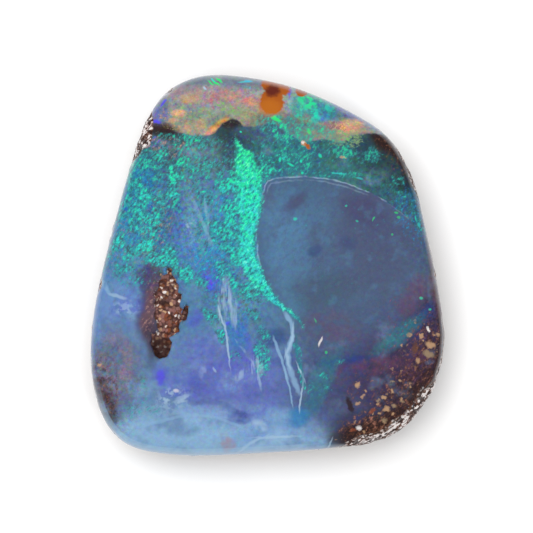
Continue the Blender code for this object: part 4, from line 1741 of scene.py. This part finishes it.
    def _crust(self, face: FaceMap, rock: Shade, pale: Value) -> tuple[Shade, Value]:
        """The rough corners beside the face: dark, with pink grains and pale quartz painted as glints
        (painted highlights).

        Args:
            face: The face's masks.
            rock: The plain rock's colour.
            pale: How pale the plain rock is.

        Returns:
            The colour, and how pale and shiny the grain is.
        """
        board = face.board
        up = face.z.rise(*self.crust_heights) * board.attribute("ironstone")
        _, chance, other = board.cells(face.solid, self.glint_period)
        streak = board.level(face.along(self.crust_lean, self.crust_stretch), self.glint_period, 3.0, 0.7)
        chance = chance * 0.5 + (streak - 0.5) * 3.6 + (face.speck - 0.5) * 1.4 + 0.3
        glint = chance.rise(0.55, 0.70)
        colour = board.dye(
            Tint.UMBER,
            (chance.rise(0.15, 0.5), Tint.BROWN),
            (chance.rise(0.42, 0.7), Tint.DUSTY_ROSE),
            # Painted highlights: white glints on the crust, laid where the streaky chance is high.
            (glint, Tint.QUARTZ_AND_GLINT),
            (other.rise(0.72, 0.8, 0.9), Tint.UMBER),
        )
        return board.mix(up, rock, colour), pale.over(glint * up)

    def _pocket_colour(self, face: FaceMap, rock: Shade) -> Shade:
        """The open pocket: fine red-brown granules with a few pale ones painted as glints, and a dark lobe at
        its foot.

        Args:
            face: The face's masks.
            rock: The colour of the rock elsewhere.

        Returns:
            The rock's colour with the pocket's in its place.
        """
        near, chance, _ = face.board.cells(face.ragged, self.granule_period)
        colour = face.board.dye(
            Tint.BROWN,
            (face.speck.rise(0.38, 0.6, 0.7), Tint.RUST),
            (chance.rise(0.22, 0.4, 0.45), Tint.DUSTY_ROSE),
            (near.rise(0.38, 0.75, 0.8), Tint.UMBER),
            (chance.rise(0.5, 0.64) * near.rise(0.55, 0.3), Tint.SAND),
            # Painted highlights: a few white glints on granule tops.
            (chance.rise(0.82, 0.88) * near.rise(0.5, 0.25), Tint.QUARTZ_AND_GLINT),
            (face.blotch.rise(0.46, 0.3, 0.6), Tint.UMBER),
            (face.oval(face.close, self.pocket_foot), Tint.UMBER),
        )
        return face.board.mix(face.board.attribute("pocket").rise(0.02, 0.2), rock, colour)

    def _saw_marks(self, face: FaceMap) -> Value:
        """Fine parallel scratches that the saw left across the back, and nothing elsewhere.

        Args:
            face: The face's masks.

        Returns:
            How high a scratch stands, and 0 away from the back.
        """
        turned = {
            "Vector": face.solid,
            "Rotation": (0.0, 0.0, math.radians(self.saw_bearing)),
            "Scale": (self.saw_stretch, 1.0, 0.0),
        }
        place = face.board.node("ShaderNodeMapping", {"vector_type": "POINT"}, turned).outputs[0]
        return face.board.level(place, self.saw_period, 2.0, 0.7) * face.z.rise(*self.back_heights)

    def material(self) -> bpy.types.Material:
        """Builds the material.

        Returns:
            The material of the whole stone.
        """
        skin = bpy.data.materials.new("boulder_opal_skin")
        skin.use_nodes = True
        board = NodeBoard(skin.node_tree)
        face = FaceMap(board, self.marks)
        opal = self._wall_colour(face, self._face_colour(face))
        rock, pale = self._crust(face, *self._rock_colour(face))
        scratches = self._saw_marks(face)
        rock = board.dye(self._pocket_colour(face, rock), (scratches.rise(0.45, 0.7, 0.35), Tint.TAN))
        rough_edge = (face.speck - 0.5) * self.rough_edge
        open_pocket = (board.attribute("pocket") + rough_edge).rise(0.3, 0.6)
        bare = (board.attribute("ironstone") + rough_edge).rise(0.35, 0.6).over(open_pocket)
        dull = bare * (self.rock_roughness - self.polish) + self.polish
        texture = board.level(face.solid, 2.6, 3.0, 0.7)
        height = texture * bare * face.z.rise(*self.back_heights[::-1]) + scratches
        bumps = {"Strength": self.bump_strength, "Distance": self.bump_height, "Height": height}
        sockets = {
            "Base Color": board.mix(bare, opal, rock),
            "Roughness": dull - pale * bare * self.quartz_shine,
            "IOR": self.opal_ior,
            "Normal": board.node("ShaderNodeBump", sockets=bumps).outputs["Normal"],
        }
        board.finish(board.node("ShaderNodeBsdfPrincipled", sockets=sockets))
        return skin


@dataclass(frozen=True)
class SoftBox:
    """One square light of the studio."""

    name: str
    azimuth: float
    elevation: float
    distance: float
    side: float
    power: float
    glossy: bool = False

    def build(self) -> bpy.types.Object:
        """Hangs the light, facing the stone.

        Returns:
            The light's object.
        """
        data = bpy.data.lights.new(self.name, "AREA")
        data.size = self.side
        data.energy = self.power
        light = bpy.data.objects.new(self.name, data)
        around, up = math.radians(self.azimuth), math.radians(self.elevation)
        away = Vector((math.cos(around) * math.cos(up), math.sin(around) * math.cos(up), math.sin(up)))
        light.location = away * self.distance
        light.rotation_euler = away.to_track_quat("Z", "Y").to_euler()
        light.visible_camera = False
        light.visible_glossy = self.glossy
        bpy.context.scene.collection.objects.link(light)
        return light


@dataclass
class Studio:
    """The pale floor, the soft lights and the camera straight above the stone."""

    floor_side: float = 4.0
    camera_distance: float = 0.6
    sensor: float = 36.0
    frame_middle: Pixel = (266.5, 266.5)
    clip: tuple[float, float] = (0.01, 10.0)
    floor_tint: Colour = (0.95, 0.95, 0.95, 1.0)
    floor_roughness: float = 0.8
    world_tint: Colour = (1.0, 1.0, 1.0, 1.0)
    world_light: float = 0.42
    lights: tuple[SoftBox, ...] = (
        SoftBox("key_upper_left", 125.0, 54.0, 0.7, 0.8, 5.0),
        SoftBox("fill_right", 15.0, 50.0, 0.7, 0.8, 1.1),
        SoftBox("fill_lower_left", 225.0, 50.0, 0.7, 0.8, 1.6),
        SoftBox("edge_lower_right", -50.0, 28.0, 0.45, 0.12, 0.4, True),
    )

    def _floor(self) -> None:
        """Lays the white floor."""
        bm = bmesh.new()
        bmesh.ops.create_grid(bm, x_segments=1, y_segments=1, size=self.floor_side / 2.0)
        mesh = bpy.data.meshes.new("floor")
        bm.to_mesh(mesh)
        bm.free()
        white = bpy.data.materials.new("white_floor")
        white.use_nodes = True
        board = NodeBoard(white.node_tree)
        sockets = {"Base Color": self.floor_tint, "Roughness": self.floor_roughness}
        board.finish(board.node("ShaderNodeBsdfPrincipled", sockets=sockets))
        mesh.materials.append(white)
        floor = bpy.data.objects.new("floor", mesh)
        bpy.context.scene.collection.objects.link(floor)

    def _camera(self) -> None:
        """Hangs the camera over the middle of the photo's frame, with the photo's top towards +Y."""
        data = bpy.data.cameras.new("camera")
        data.sensor_width = self.sensor
        frame_width = PHOTO_SIDE / PIXELS_PER_MM * MM
        data.lens = self.sensor * (self.camera_distance - GIRDLE_HEIGHT * MM) / frame_width
        data.clip_start, data.clip_end = self.clip
        camera = bpy.data.objects.new("camera", data)
        across = (self.frame_middle[0] - STONE_CENTRE[0]) / PIXELS_PER_MM * MM
        along = (STONE_CENTRE[1] - self.frame_middle[1]) / PIXELS_PER_MM * MM
        camera.location = (across, along, self.camera_distance)
        bpy.context.scene.collection.objects.link(camera)
        bpy.context.scene.camera = camera

    def _world(self) -> None:
        """Lights the room evenly and dimly, and keeps colours as they are."""
        world = bpy.data.worlds.new("studio")
        world.use_nodes = True
        light = world.node_tree.nodes["Background"].inputs
        light["Color"].default_value = self.world_tint
        light["Strength"].default_value = self.world_light
        bpy.context.scene.world = world
        bpy.context.scene.view_settings.view_transform = "Standard"

    def build(self) -> None:
        """Sets up the whole studio."""
        self._floor()
        self._camera()
        self._world()
        for light in self.lights:
            light.build()


def main() -> None:
    """Builds the studio and the stone, and puts the stone in its place in the frame."""
    logging.basicConfig(level=logging.INFO, format="%(name)s: %(message)s")
    Studio().build()
    stone = OpalStone().build()
    stone.data.materials.append(OpalFinish().material())
    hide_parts(NODE)
    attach(stone, "root")
    LOG.info("%s: %d faces", stone.name, len(stone.data.polygons))


if __name__ == "__main__":
    main()
